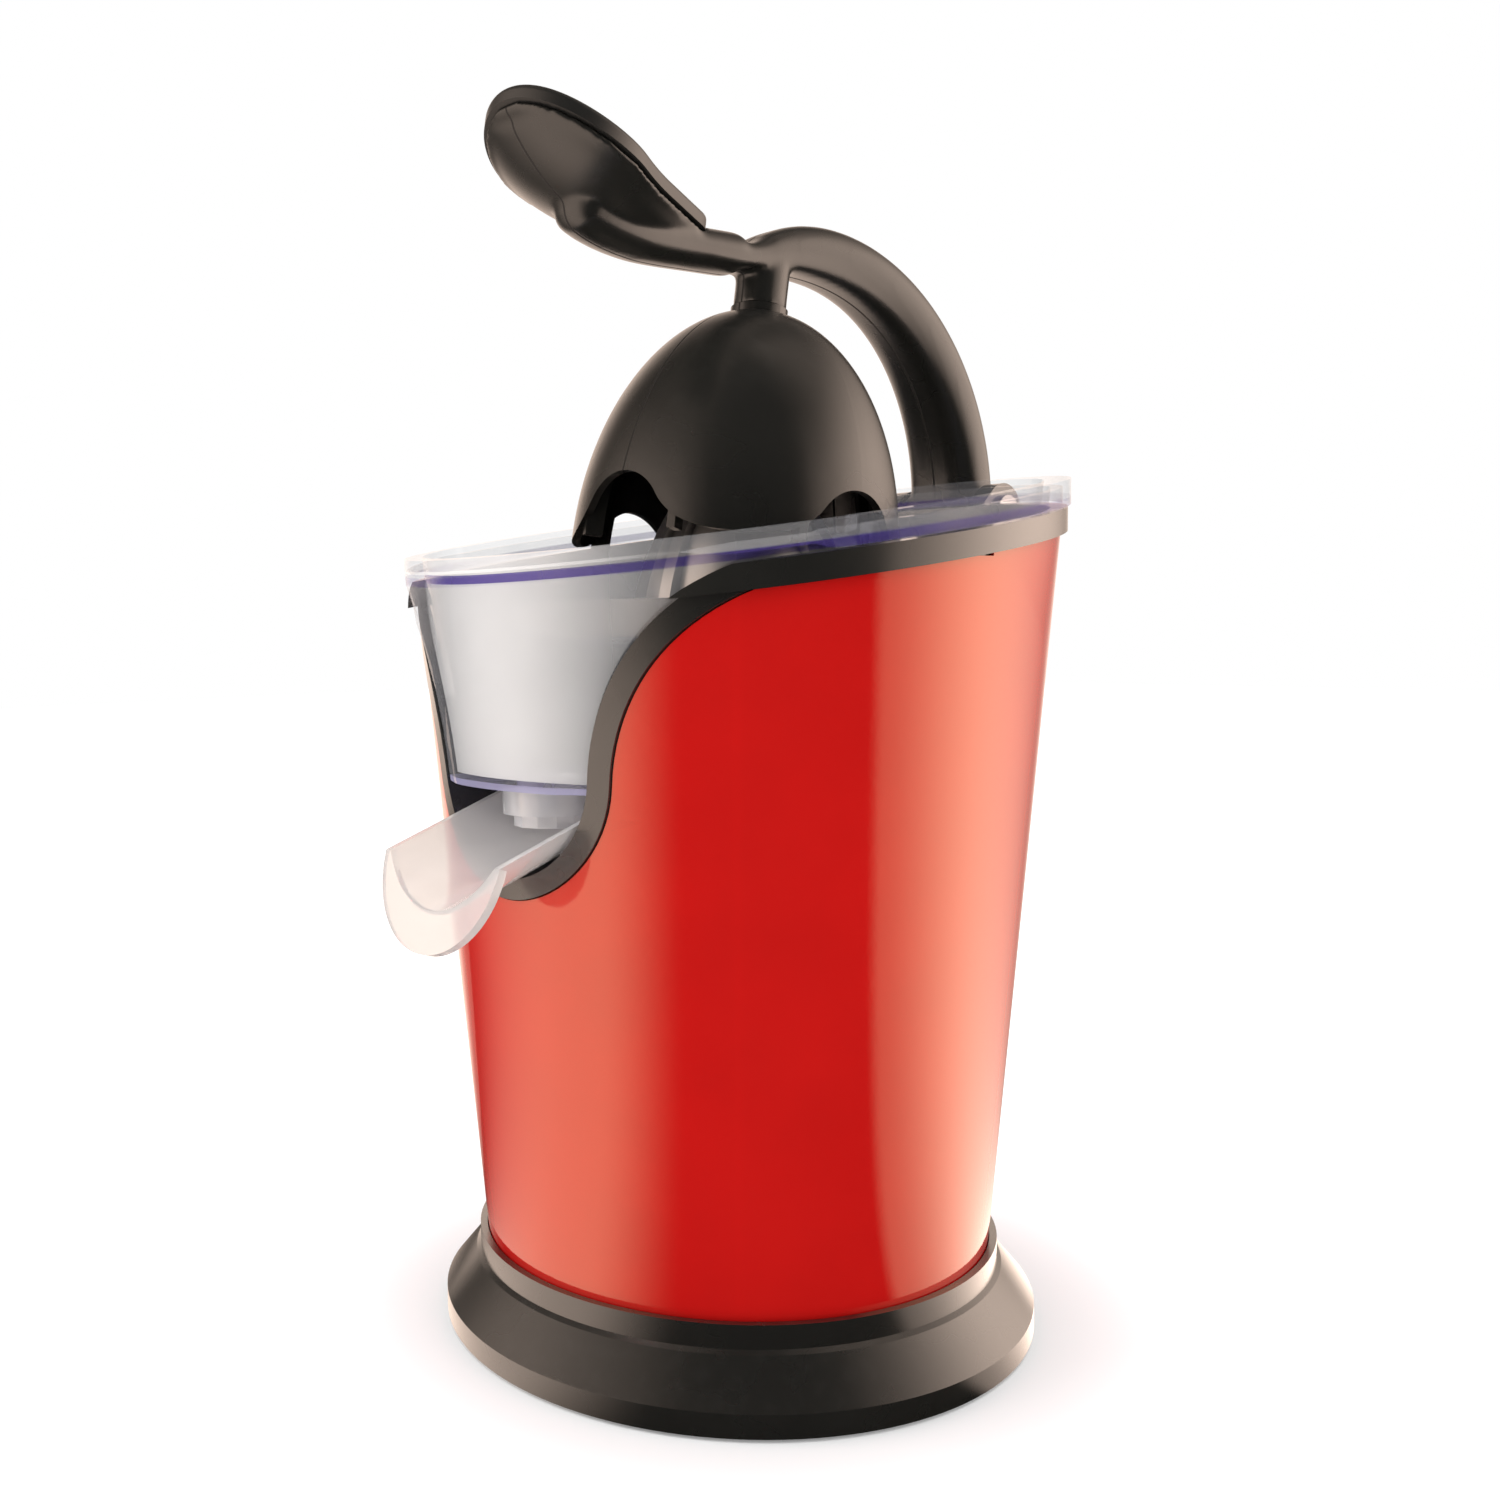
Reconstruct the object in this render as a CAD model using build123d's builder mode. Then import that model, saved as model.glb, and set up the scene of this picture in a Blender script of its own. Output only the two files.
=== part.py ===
from build123d import *
import os
from math import acos, cos, hypot, pi, radians, sin, sqrt, tan

# Electric citrus juicer with a press lever. Millimetres and degrees.
# +Z is up, the spout points to -Y and the lever hinge is at +Y. The origin is on the axis
# of the body, on the surface that the feet stand on.

# Body: a cone that widens upwards, under a rim that falls towards the spout
body_r0 = 72.8
body_taper = 5.1
rim_over = 2.0
rim_slant = 8.0
shell_t = 1.0
shell_low = 20.0

# Clearances
fit = 0.3
run = 0.05
slip = 0.1
through = 1.0
near = 0.01

# Clear rim, and the black band under it
lip_h = 7.0
lip_t = 2.2
lip_gap = 0.6
band_h = 6.6
band_in = 0.8

# Front opening: a round bay that flares into the rim, with a raised trim round it
bay_r = 36.5
bay_drop = 15.5
flare_r = 63.0
flare_turn = 6.2
trim_w = 6.0
trim_proud = 0.6
trim_depth = 3.0
bay_back = -38.0
bay_wall = 2.2

# Upper housing: the cup for the collector, and the deck that carries the gears
cup_wall = 2.2
deck_top = 185.5
deck_t = 2.5
hub_r = 11.5
hub_h = 20.5

# Base
base_r = 88.0
ring_low = 1.0
ring_wall_h = 6.5
neck_r = 77.5
neck_foot_r = 78.8
neck_foot_z = 18.5
neck_top = 26.0
neck_step = 1.0
flare_sag = 1.6
ring_wall = 3.5
floor_z = 9.0
floor_t = 3.0
wire_hole_r = 18.0
cover_low = 2.5
cover_t = 2.5
vent_count = 14
vent_r = 42.0
vent_l = 20.0
vent_w = 3.0
foot_r = 8.0
foot_x = 28.0
foot_y = 64.0
foot_chamfer = 0.6
foot_stem_r = 2.8
foot_stem_l = 5.0
cord_z = 8.0
cord_bush_r = 5.4
cord_bore_r = 3.6
cord_bush_in = 70.0
cord_bush_out = 91.0

# Tie rods from the base floor to the deck
rod_x = 52.0
rod_y = 38.0
rod_r = 4.0
rod_stud_r = 2.5
screw_r = 1.9
screw_head_r = 4.0
screw_head_h = 1.6
screw_l = 21.0
screw_end = 1.0
boss_wall = 1.0

# Collector: clear bowl with a deep front chamber
bowl_h = 52.0
bowl_wall = 2.0
bowl_floor_t = 2.0
chamber_drop = 22.0
chamber_floor_t = 2.4
chimney_r = 16.5
chimney_wall = 2.6
chimney_h = 34.5
strainer_seat_r = 20.5
strainer_rise = 14.5
nozzle_y = -70.0
nozzle_r = 13.0
nozzle_h = 7.5
nozzle_tip_r = 10.0
nozzle_tip_h = 3.5
nozzle_bore_r = 7.5
nozzle_spigot_r = 9.0
nozzle_facets = 12

# Strainer dish
strainer_gap = 3.35
strainer_t = 1.0
strainer_wall_h = 13.0
strainer_corner_r = 7.0
slot_count = 30
slot_r = 46.0
slot_l = 40.0
slot_w = 2.2

# Reamer, on the press axis a little behind the body axis
press_y = 5.5
reamer_skirt_r = 38.0
reamer_skirt_h = 3.5
reamer_r = 33.0
reamer_h = 58.0
reamer_rib = 3.5
reamer_rib_w = 4.5
reamer_rib_pairs = 4
reamer_swell = 6.0
reamer_hollow_r = 21.0
reamer_hollow_h = 18.0
hex_af = 7.4
hex_gap = 8.0
hex_l = 25.5

# Drive spindle: it slides down in the output gear to work the switch
spindle_r = 4.0
spindle_flats = 6.4
spindle_tip = 0.5
press_travel = 2.5
cam_r = 14.0
cam_t = 2.0
bush_r = 7.0
bush_flange_r = 9.0
bush_flange_t = 0.8
seal_t = 2.0
spring_r = 6.0
spring_wire_r = 0.45
spring_turns = 3

# Gear train: motor pinion, idler with two gears, output gear
pinion_teeth = 15
wheel_teeth = 60
fast_module = 0.8
slow_module = 1.0
pressure_angle = 20.0
addendum = 0.9
dedendum = 1.15
backlash = 0.24
fast_drop = 10.0
fast_face = 6.5
pinion_over = 1.0
slow_gap = 1.0
slow_face = 8.0
gear_hub_r = 10.0
gear_hub_h = 2.0
web_holes = 6
web_hole_r = 5.0
web_hole_place = 19.0
idler_clear_r = 9.4
axle_r = 2.5
plate_drop = 25.5
plate_t = 3.0
post_r = 5.0
post_front_x = 40.0
post_front_y = -4.0
post_back_x = 34.0
post_back_y = 42.0
chassis_screw_l = 33.0
post_hole_l = 14.0
plate_margin = 1.0
idler_margin = 4.0
axle_boss_gap = 2.0

# Motor
mount_drop = 17.0
mount_t = 3.0
stator_drop = 51.0
stator_h = 36.0
stator_r = 34.0
stator_ring = 6.0
pole_w = 16.0
bore_r = 18.3
rotor_r = 17.5
shaft_r = 3.0
pinion_shaft_r = 2.5
shaft_over = 5.0
lug_x = 37.5
lug_r = 5.0
bracket_drop = 16.0
bracket_t = 3.0
bearing_r = 6.0
bearing_h = 5.0
bearing_wall = 3.0
bracket_wall = 4.0
coil_w = 5.0
coil_in = 19.4
coil_out = 24.0
coil_over = 5.0
fan_drop = 8.0
fan_h = 5.5
fan_r = 27.0
fan_hub_r = 6.0
fan_disc_t = 1.2
fan_blades = 8

# Switch beside the spindle
switch_l = 13.0
switch_w = 6.0
switch_h = 4.0
switch_in = 10.7
plunger_in = 12.6
plunger_r = 1.0
plunger_h = 3.4
switch_block_l = 5.5
switch_sink = 1.0

# Spout
spout_w = 50.0
spout_depth = 13.0
spout_t = 2.0
spout_slope = 18.5
spout_lip_y = -107.0
spout_lip_drop = 38.5
spout_l = 58.0
spout_lip_lean = 17.4
spout_drop = 25.0
spout_drop_t = 2.4
spout_under = 1.5
trunnion_r = 2.5
trunnion_back = 44.0
trunnion_up = -4.5
trunnion_l = 2.2
trunnion_in = 20.6

# Lever, drawn fully lowered: the dome is upright on the press axis
pin_out = 11.5
pin_rise = 3.5
pin_r = 4.0
pin_head_r = 5.5
pin_head_t = 1.6
lever_shown = 9.5
arm_w = 28.0
foot_eye_r = 8.8
washer_t = 1.0
washer_r = 7.5
ear_r = 9.5
ear_t = 6.0
ear_root_in = 3.0
ear_root_drop = 3.0
ear_root_r = 2.0
gusset_drop = 27.0
ear_web_drop = 12.0
arch_r = 77.3
arch_in = 68.6
arch_drop = 4.8
inner_r = 67.9
inner_in = 75.5
inner_drop = 10.5
arch_turns = (4, 35, 66, 98)
neck_place = (2.5, 57.8, 116, 17.0, 10.4)
keel_places = (
    (-13.0, 52.4, 106, 17.0, 6.6),
    (-28.0, 50.5, 96, 17.0, 8.0),
    (-43.0, 49.0, 90, 16.0, 10.0),
    (-58.0, 48.2, 84, 14.0, 10.6),
    (-67.0, 48.8, 76, 11.0, 9.0),
)
nose_place = (-70.5, 49.4, 74, 6.0, 4.6)
section_round = 0.42
neck_rod_r = 7.9

# Palm rest at the end of the lever: flat at the heel, curving up to the tip
palm_rise = 53.0
palm_tip_y = -95.7
palm_heel_y = -23.5
palm_bend_y = -50.0
palm_bend_r = 86.0
palm_r = 23.6
heel_r = 9.5
palm_rim_t = 1.6
pad_t = 4.2
pad_step = 0.5
pad_round = 1.5
belly_places = (
    (-92.0, 11.5, 1.6),
    (-84.0, 18.8, 4.6),
    (-71.0, 22.2, 7.0),
    (-55.0, 17.4, 7.6),
    (-42.0, 12.6, 6.8),
    (-31.0, 8.4, 5.0),
)

# Dome that presses the fruit
dome_r = 48.0
dome_h = 74.4
dome_rise = 40.7
dome_drop = 73.6
dome_t = 2.5
arch_rise = 16.4
arch_half = 40.0
arch_share = 0.42
dome_boss_r = 8.5
dome_boss_h = 1.2
inner_boss_h = 4.0
grip_count = 8
grip_h = 4.0
grip_w = 2.4
dome_screw_r = 2.0
dome_screw_l = 14.0
dome_screw_head_r = 4.2
dome_screw_head_h = 2.4

UP = (Align.CENTER, Align.CENTER, Align.MIN)
FAR = 130.0
BELOW_BAY = 100.0
BELOW_BAND = 150.0
HIGH = 270.0

deck_low = deck_top - deck_t
rim_z = deck_top + bowl_h
rim_r = body_r0 + rim_z * tan(radians(body_taper)) + rim_over
band_r = rim_r - band_in
bay_z = deck_top - bay_drop
hub_top = deck_top + hub_h
chamber_low = deck_top - chamber_drop
chimney_top = deck_top + chimney_h
strainer_z = deck_top + strainer_rise
reamer_top = hub_top + reamer_h
hex_low = hub_top + hex_gap
hex_top = hex_low + hex_l
plate_low = deck_top - plate_drop
slow_low = plate_low + plate_t + slow_gap
fast_low = plate_low - fast_drop
spindle_low = plate_low + spindle_tip
mount_low = plate_low - mount_drop
fan_low = mount_low - fan_drop
stator_low = mount_low - stator_drop
bracket_low = stator_low - bracket_drop
shaft_low = bracket_low - shaft_over
spout_lip_z = deck_top - spout_lip_drop
pin_y = rim_r + pin_out
pin_z = rim_z + pin_rise
ear_root_y = rim_r - ear_root_in
ear_root_z = pin_z - ear_root_drop
gusset_z = pin_z - gusset_drop
ear_web_z = pin_z - ear_web_drop
arch_y = pin_y - arch_in
arch_z = pin_z - arch_drop
inner_y = pin_y - inner_in
inner_z = pin_z - inner_drop
palm_z = pin_z + palm_rise
dome_top = pin_z + dome_rise
dome_low = dome_top - dome_drop
band_top_drop = lip_h + lip_gap
band_low_drop = band_top_drop + band_h
slow_centres = slow_module * (pinion_teeth + wheel_teeth) / 2
fast_centres = fast_module * (pinion_teeth + wheel_teeth) / 2
idler_y = press_y + slow_centres
motor_y = idler_y - fast_centres
cup_inset = shell_t + fit
bowl_inset = cup_inset + cup_wall + fit
rim_up = (0, -sin(radians(rim_slant)), cos(radians(rim_slant)))
rim_plane = Plane((0, 0, rim_z), x_dir=(1, 0, 0), z_dir=rim_up)
press_axis = Axis((0, press_y, 0), (0, 0, 1))
lever_axis = Axis((0, pin_y, pin_z), (-1, 0, 0))

os.makedirs("parts", exist_ok=True)


def save(builder, name):
    """Label a finished piece and write its file."""
    builder.part.label = name
    export_step(builder.part, f"parts/{name}.step")


def save_raised(builder, name):
    """Turn a lever piece from the lowered place to the one shown, then write it."""
    builder.part = builder.part.rotate(lever_axis, lever_shown)
    save(builder, name)


def cone_r(z):
    """Outer radius of the body's cone at a height."""
    return body_r0 + z * tan(radians(body_taper))


def body_cone(offset, low, high, mode=Mode.ADD):
    """The body's cone between two heights, grown or shrunk by an offset."""
    with Locations((0, 0, low)):
        Cone(cone_r(low) + offset, cone_r(high) + offset, high - low, align=UP, mode=mode)


def post(x, y, low, high, radius, mode=Mode.ADD):
    """Upright cylinder between two heights."""
    with Locations((x, y, low)):
        Cylinder(radius, high - low, align=UP, mode=mode)


def cross_pin(y, z, x_from, x_to, radius, mode=Mode.ADD):
    """Cylinder along X between two places."""
    with BuildSketch(Plane.YZ.offset(x_from)) as end:
        with Locations((y, z)):
            Circle(radius)
    extrude(end.sketch, amount=x_to - x_from, mode=mode)


def opening_block(inset, back, mode=Mode.ADD):
    """Block of the front opening, from a depth out past the front, inset from its edge."""
    turn = radians(flare_turn)
    reach = bay_r + flare_r
    flare_x = reach * cos(turn)
    flare_z = bay_z - reach * sin(turn)
    wide = flare_r + inset
    with BuildSketch(Plane.XZ.offset(-back)) as front:
        with BuildLine():
            CenterArc((0, bay_z), bay_r - inset, 180 + flare_turn, 180 - 2 * flare_turn)
            CenterArc((flare_x, flare_z), wide, 180 - flare_turn, flare_turn - 90)
            flare_top = flare_z + wide
            Polyline((flare_x, flare_top), (flare_x, HIGH), (-flare_x, HIGH), (-flare_x, flare_top))
            CenterArc((-flare_x, flare_z), wide, 90, flare_turn - 90)
        make_face()
    extrude(front.sketch, amount=back + FAR, mode=mode)


def press_section(z, turn):
    """Upright plane through the press axis, turned about it, with its origin at a height."""
    angle = radians(turn)
    return Plane((0, press_y, z), x_dir=(cos(angle), sin(angle), 0), z_dir=(sin(angle), -cos(angle), 0))


def at_rods():
    """Places of the four tie rods."""
    return GridLocations(2 * rod_x, 2 * rod_y, 2, 2)


def at_feet():
    """Places of the four feet."""
    return GridLocations(2 * foot_x, 2 * foot_y, 2, 2)


def at_posts():
    """Places of the four posts that carry the gear plates."""
    front = [(post_front_x, post_front_y), (-post_front_x, post_front_y)]
    back = [(post_back_x, post_back_y), (-post_back_x, post_back_y)]
    return Locations(*front, *back)


def columns(places, low, high, radius, mode=Mode.ADD):
    """Upright cylinders at a set of places."""
    with BuildSketch(Plane.XY.offset(low)) as ends:
        with places:
            Circle(radius)
    extrude(ends.sketch, amount=high - low, mode=mode)


def gear_points(teeth, module, first):
    """Spur gear outline: each flank has its root, pitch and tip points on an involute."""
    pitch = module * teeth / 2
    base = pitch * cos(radians(pressure_angle))
    tip = pitch + addendum * module
    root = pitch - dedendum * module

    def involute(radius):
        angle = acos(base / max(radius, base))
        return tan(angle) - angle

    half = (pi * module / 2 - backlash) / (2 * pitch)
    foot_half = half + involute(pitch) - involute(base)
    tip_half = half + involute(pitch) - involute(tip)
    rising = [(root, -foot_half), (pitch, -half), (tip, -tip_half)]
    steps = rising + [(radius, -turn) for radius, turn in reversed(rising)]
    points = []
    for tooth in range(teeth):
        centre = radians(first + 360 * tooth / teeth)
        points += [(radius * cos(centre + turn), radius * sin(centre + turn)) for radius, turn in steps]
    return points


def gear(y, low, face, teeth, module, first):
    """Spur gear on an upright axis."""
    with BuildSketch(Plane((0, y, low))) as outline:
        with BuildLine():
            Polyline(*gear_points(teeth, module, first), close=True)
        make_face()
    extrude(outline.sketch, amount=face)


# Base ring: skirt, concave flare, neck with a groove for the shell, and a floor
ring_top_in = cone_r(neck_top) + fit
groove_in = cone_r(shell_low) - shell_t - fit
with BuildPart() as base_ring:
    wall_top = ring_low + ring_wall_h
    skirt_in = base_r - ring_wall
    with BuildSketch(Plane.XZ):
        with BuildLine():
            Polyline((base_r, ring_low), (base_r, wall_top))
            SagittaArc((base_r, wall_top), (neck_foot_r, neck_foot_z), flare_sag)
            Polyline(
                (neck_foot_r, neck_foot_z),
                (neck_r, neck_foot_z + neck_step),
                (neck_r, neck_top),
                (ring_top_in, neck_top),
                (cone_r(shell_low) + fit, shell_low),
                (groove_in, shell_low),
                (groove_in, floor_z + floor_t),
                (wire_hole_r, floor_z + floor_t),
                (wire_hole_r, floor_z),
                (groove_in, floor_z),
                (skirt_in, floor_z - floor_t),
                (skirt_in, ring_low),
                (base_r, ring_low),
            )
        make_face()
    revolve(axis=Axis.Z)
    columns(at_rods(), floor_z - through, floor_z + floor_t + through, screw_r + slip, Mode.SUBTRACT)
    with BuildSketch(Plane.XZ.offset(-cord_bush_in)):
        with Locations((0, cord_z)):
            Circle(cord_bush_r + slip)
        with Locations((0, cord_z / 2)):
            Rectangle(2 * (cord_bush_r + slip), cord_z)
    extrude(amount=cord_bush_in - FAR, mode=Mode.SUBTRACT)
save(base_ring, "base_ring")

# Bottom cover with cooling slots and bosses that meet the floor of the base ring
with BuildPart() as bottom_cover:
    post(0, 0, cover_low, cover_low + cover_t, base_r - ring_wall - fit)
    columns(at_rods(), cover_low, floor_z, rod_r + boss_wall)
    columns(at_rods(), cover_low - through, floor_z + through, screw_r + slip, Mode.SUBTRACT)
    columns(at_feet(), cover_low - through, floor_z, foot_stem_r + slip, Mode.SUBTRACT)
    with BuildSketch(Plane.XY.offset(cover_low)):
        with PolarLocations(vent_r, vent_count, 90):
            SlotOverall(vent_l, vent_w)
    extrude(amount=cover_t, mode=Mode.SUBTRACT)
    with Locations((0, cord_bush_in - fit + FAR / 2, 0)):
        Box(2 * (cord_bush_r + fit), FAR, floor_z, align=UP, mode=Mode.SUBTRACT)
save(bottom_cover, "bottom_cover")

# Rubber feet, with stems through the cover
with BuildPart() as rubber_feet:
    with BuildSketch():
        with at_feet():
            Circle(foot_r)
    extrude(amount=cover_low)
    chamfer(rubber_feet.edges().group_by(Axis.Z)[0], foot_chamfer)
    columns(at_feet(), cover_low, cover_low + foot_stem_l, foot_stem_r)
save(rubber_feet, "rubber_feet")

# Screws from below into the tie rods
with BuildPart() as bottom_screws:
    columns(at_rods(), cover_low - screw_head_h, cover_low, screw_head_r)
    columns(at_rods(), cover_low, cover_low + screw_l, screw_r)
save(bottom_screws, "bottom_screws")

# Tie rods that clamp the shell between base and housing
with BuildPart() as tie_rods:
    columns(at_rods(), floor_z + floor_t, deck_low, rod_r)
    columns(at_rods(), deck_low, deck_top - fit, rod_stud_r)
    columns(at_rods(), floor_z + floor_t, cover_low + screw_l + screw_end, screw_r + slip, Mode.SUBTRACT)
save(tie_rods, "tie_rods")

# Cord bush in its slot at the back of the base
with BuildPart() as cord_bush:
    with BuildSketch(Plane.XZ.offset(-cord_bush_in - fit)):
        with Locations((0, cord_z)):
            Circle(cord_bush_r)
        with Locations((0, (cord_z + ring_low) / 2)):
            Rectangle(2 * cord_bush_r, cord_z - ring_low)
        with Locations((0, cord_z)):
            Circle(cord_bore_r, mode=Mode.SUBTRACT)
    extrude(amount=cord_bush_in + fit - cord_bush_out)
save(cord_bush, "cord_bush")

# Painted shell: a thin cone, cut along the slanted band and round the front opening
with BuildPart() as outer_shell:
    body_cone(0, shell_low, HIGH)
    body_cone(-shell_t, shell_low, HIGH, Mode.SUBTRACT)
    split(bisect_by=rim_plane.offset(-band_low_drop - fit), keep=Keep.BOTTOM)
    opening_block(0, -through, Mode.SUBTRACT)
save(outer_shell, "outer_shell")

# Raised trim round the front opening
with BuildPart() as trim:
    opening_block(fit, bay_back)
    body_cone(trim_proud, BELOW_BAY, HIGH, Mode.INTERSECT)
    body_cone(-trim_depth, BELOW_BAY, HIGH, Mode.SUBTRACT)

# Walls of the bay, open at the front
with BuildPart() as bay:
    opening_block(trim_w - bay_wall, bay_back + bay_wall)
    body_cone(-cup_inset, BELOW_BAY, HIGH, Mode.INTERSECT)
    split(bisect_by=Plane.XY.offset(deck_top), keep=Keep.BOTTOM)

# Space of the shell below the band, which the hinge ears keep clear of
with BuildPart() as shell_space:
    body_cone(fit, BELOW_BAND, HIGH)
    split(bisect_by=rim_plane.offset(-band_low_drop), keep=Keep.BOTTOM)

# Hinge ears at the back, joined by a web under the foot of the lever
ear_in = arm_w / 2 + washer_t + 2 * slip
with BuildPart() as ears:
    with BuildSketch(Plane.YZ.offset(-ear_in - ear_t)):
        with Locations((pin_y, pin_z)):
            Circle(ear_r)
        with Locations((ear_root_y, ear_root_z), (ear_root_y, gusset_z)):
            Circle(ear_root_r)
        make_hull()
    extrude(amount=2 * (ear_in + ear_t))
    with Locations((0, ear_root_y, ear_web_z)):
        Box(2 * ear_in, FAR, FAR, align=UP, mode=Mode.SUBTRACT)
    cross_pin(pin_y, pin_z, -FAR, FAR, pin_r + run, Mode.SUBTRACT)
    add(shell_space.part, mode=Mode.SUBTRACT)

# Upper housing: band, cup, deck, bay, trim, hinge ears and gear posts in one moulding
trunnion_y = spout_lip_y + trunnion_back * cos(radians(spout_slope))
trunnion_z = spout_lip_z + trunnion_back * sin(radians(spout_slope)) + trunnion_up
switch_top = slow_low + slow_face + gear_hub_h - switch_sink + switch_h
with BuildPart() as upper_housing:
    post(0, 0, BELOW_BAND, HIGH, band_r)
    split(bisect_by=rim_plane.offset(-band_low_drop), keep=Keep.TOP)
    body_cone(-cup_inset, deck_low, HIGH)
    add(trim.part)
    add(bay.part)
    split(bisect_by=rim_plane.offset(-band_top_drop), keep=Keep.BOTTOM)
    add(ears.part)
    body_cone(-cup_inset - cup_wall, deck_top, HIGH, Mode.SUBTRACT)
    opening_block(trim_w, bay_back, Mode.SUBTRACT)
    post(0, press_y, deck_low, hub_top, hub_r)
    post(0, press_y, deck_low - through, hub_top + through, bush_r + run, Mode.SUBTRACT)
    columns(at_posts(), plate_low + plate_t, deck_low, post_r)
    columns(at_posts(), plate_low, plate_low + plate_t + post_hole_l, screw_r + slip, Mode.SUBTRACT)
    columns(at_rods(), deck_low - through, deck_top + through, rod_stud_r + slip, Mode.SUBTRACT)
    post(0, idler_y, slow_low + slow_face + axle_boss_gap, deck_low, post_r)
    post(0, idler_y, slow_low + slow_face, deck_low, axle_r + run, Mode.SUBTRACT)
    with Locations((switch_in + switch_l - switch_block_l / 2, press_y, switch_top)):
        Box(switch_block_l, switch_w, deck_low - switch_top, align=UP)
    cross_pin(trunnion_y, trunnion_z, -bay_r, bay_r, trunnion_r + run, Mode.SUBTRACT)
save(upper_housing, "upper_housing")

# Hinge pin through both ears and the foot of the lever
with BuildPart() as hinge_pin:
    pin_end = ear_in + ear_t + slip
    cross_pin(pin_y, pin_z, -pin_end, pin_end, pin_r)
    cross_pin(pin_y, pin_z, pin_end, pin_end + pin_head_t, pin_head_r)
    cross_pin(pin_y, pin_z, -pin_end - pin_head_t, -pin_end, pin_head_r)
save(hinge_pin, "hinge_pin")

# Friction washers that hold the lever where it is put
with BuildPart() as hinge_washers:
    for start in (-ear_in + slip, arm_w / 2 + slip):
        cross_pin(pin_y, pin_z, start, start + washer_t, washer_r)
    cross_pin(pin_y, pin_z, -FAR, FAR, pin_r + run, Mode.SUBTRACT)
save(hinge_washers, "hinge_washers")


def chamber(inset, low):
    """The deep chamber behind the front opening, shrunk all round by an inset."""
    with BuildPart() as space:
        opening_block(trim_w + inset, bay_back - inset)
        body_cone(-inset, BELOW_BAY, HIGH, Mode.INTERSECT)
        split(bisect_by=Plane.XY.offset(low), keep=Keep.TOP)
        split(bisect_by=rim_plane, keep=Keep.BOTTOM)
    return space.part


# Overhanging rim of the collector: a flange with a skirt
with BuildPart() as under_flange:
    post(0, 0, deck_top, HIGH, rim_r - lip_t)
    split(bisect_by=rim_plane.offset(-lip_t), keep=Keep.BOTTOM)
with BuildPart() as rim_lip:
    post(0, 0, deck_top, HIGH, rim_r)
    split(bisect_by=rim_plane, keep=Keep.BOTTOM)
    split(bisect_by=rim_plane.offset(-lip_h), keep=Keep.TOP)
    add(under_flange.part, mode=Mode.SUBTRACT)

# Collector: bowl, front chamber, rim and the chimney round the drive
with BuildPart() as collector:
    body_cone(-bowl_inset, deck_top, HIGH)
    split(bisect_by=rim_plane, keep=Keep.BOTTOM)
    add(chamber(fit, chamber_low))
    add(rim_lip.part)
    body_cone(-bowl_inset - bowl_wall, deck_top + bowl_floor_t, HIGH, Mode.SUBTRACT)
    add(chamber(fit + bowl_wall, chamber_low + chamber_floor_t), mode=Mode.SUBTRACT)
    post(0, press_y, deck_top, strainer_z, strainer_seat_r)
    post(0, press_y, deck_top, chimney_top, chimney_r)
    post(0, press_y, deck_top - through, chimney_top + through, chimney_r - chimney_wall, Mode.SUBTRACT)
    chamber_floor = chamber_low + chamber_floor_t
    post(0, nozzle_y, chamber_low - through, chamber_floor + through, nozzle_spigot_r + slip, Mode.SUBTRACT)
save(collector, "collector")

# Stepped outlet under the chamber
with BuildPart() as outlet_nozzle:
    post(0, nozzle_y, chamber_low - nozzle_h, chamber_low, nozzle_r)
    with BuildSketch(Plane((0, nozzle_y, chamber_low - nozzle_h))):
        RegularPolygon(nozzle_tip_r, nozzle_facets)
    extrude(amount=-nozzle_tip_h)
    post(0, nozzle_y, chamber_low, chamber_low + chamber_floor_t, nozzle_spigot_r)
    post(0, nozzle_y, chamber_low - FAR, chamber_low + FAR, nozzle_bore_r, Mode.SUBTRACT)
save(outlet_nozzle, "outlet_nozzle")

# Strainer dish with radial slots
press_plane = press_section(0, 0)
strainer_r = cone_r(strainer_z) - bowl_inset - bowl_wall - press_y - strainer_gap
with BuildPart() as strainer:
    hole_r = chimney_r + slip
    wall_top = strainer_z + strainer_wall_h
    inner_r_dish = strainer_r - strainer_t
    with BuildSketch(press_plane):
        with BuildLine():
            FilletPolyline(
                (hole_r, strainer_z),
                (strainer_r, strainer_z),
                (strainer_r, wall_top),
                radius=strainer_corner_r,
            )
            Line((strainer_r, wall_top), (inner_r_dish, wall_top))
            FilletPolyline(
                (inner_r_dish, wall_top),
                (inner_r_dish, strainer_z + strainer_t),
                (hole_r, strainer_z + strainer_t),
                radius=strainer_corner_r - strainer_t,
            )
            Line((hole_r, strainer_z + strainer_t), (hole_r, strainer_z))
        make_face()
    revolve(axis=press_axis)
    with BuildSketch(Plane((0, press_y, strainer_z))):
        with PolarLocations(slot_r, slot_count):
            SlotOverall(slot_l, slot_w)
    extrude(amount=strainer_t, mode=Mode.SUBTRACT)
save(strainer, "strainer")

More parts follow.
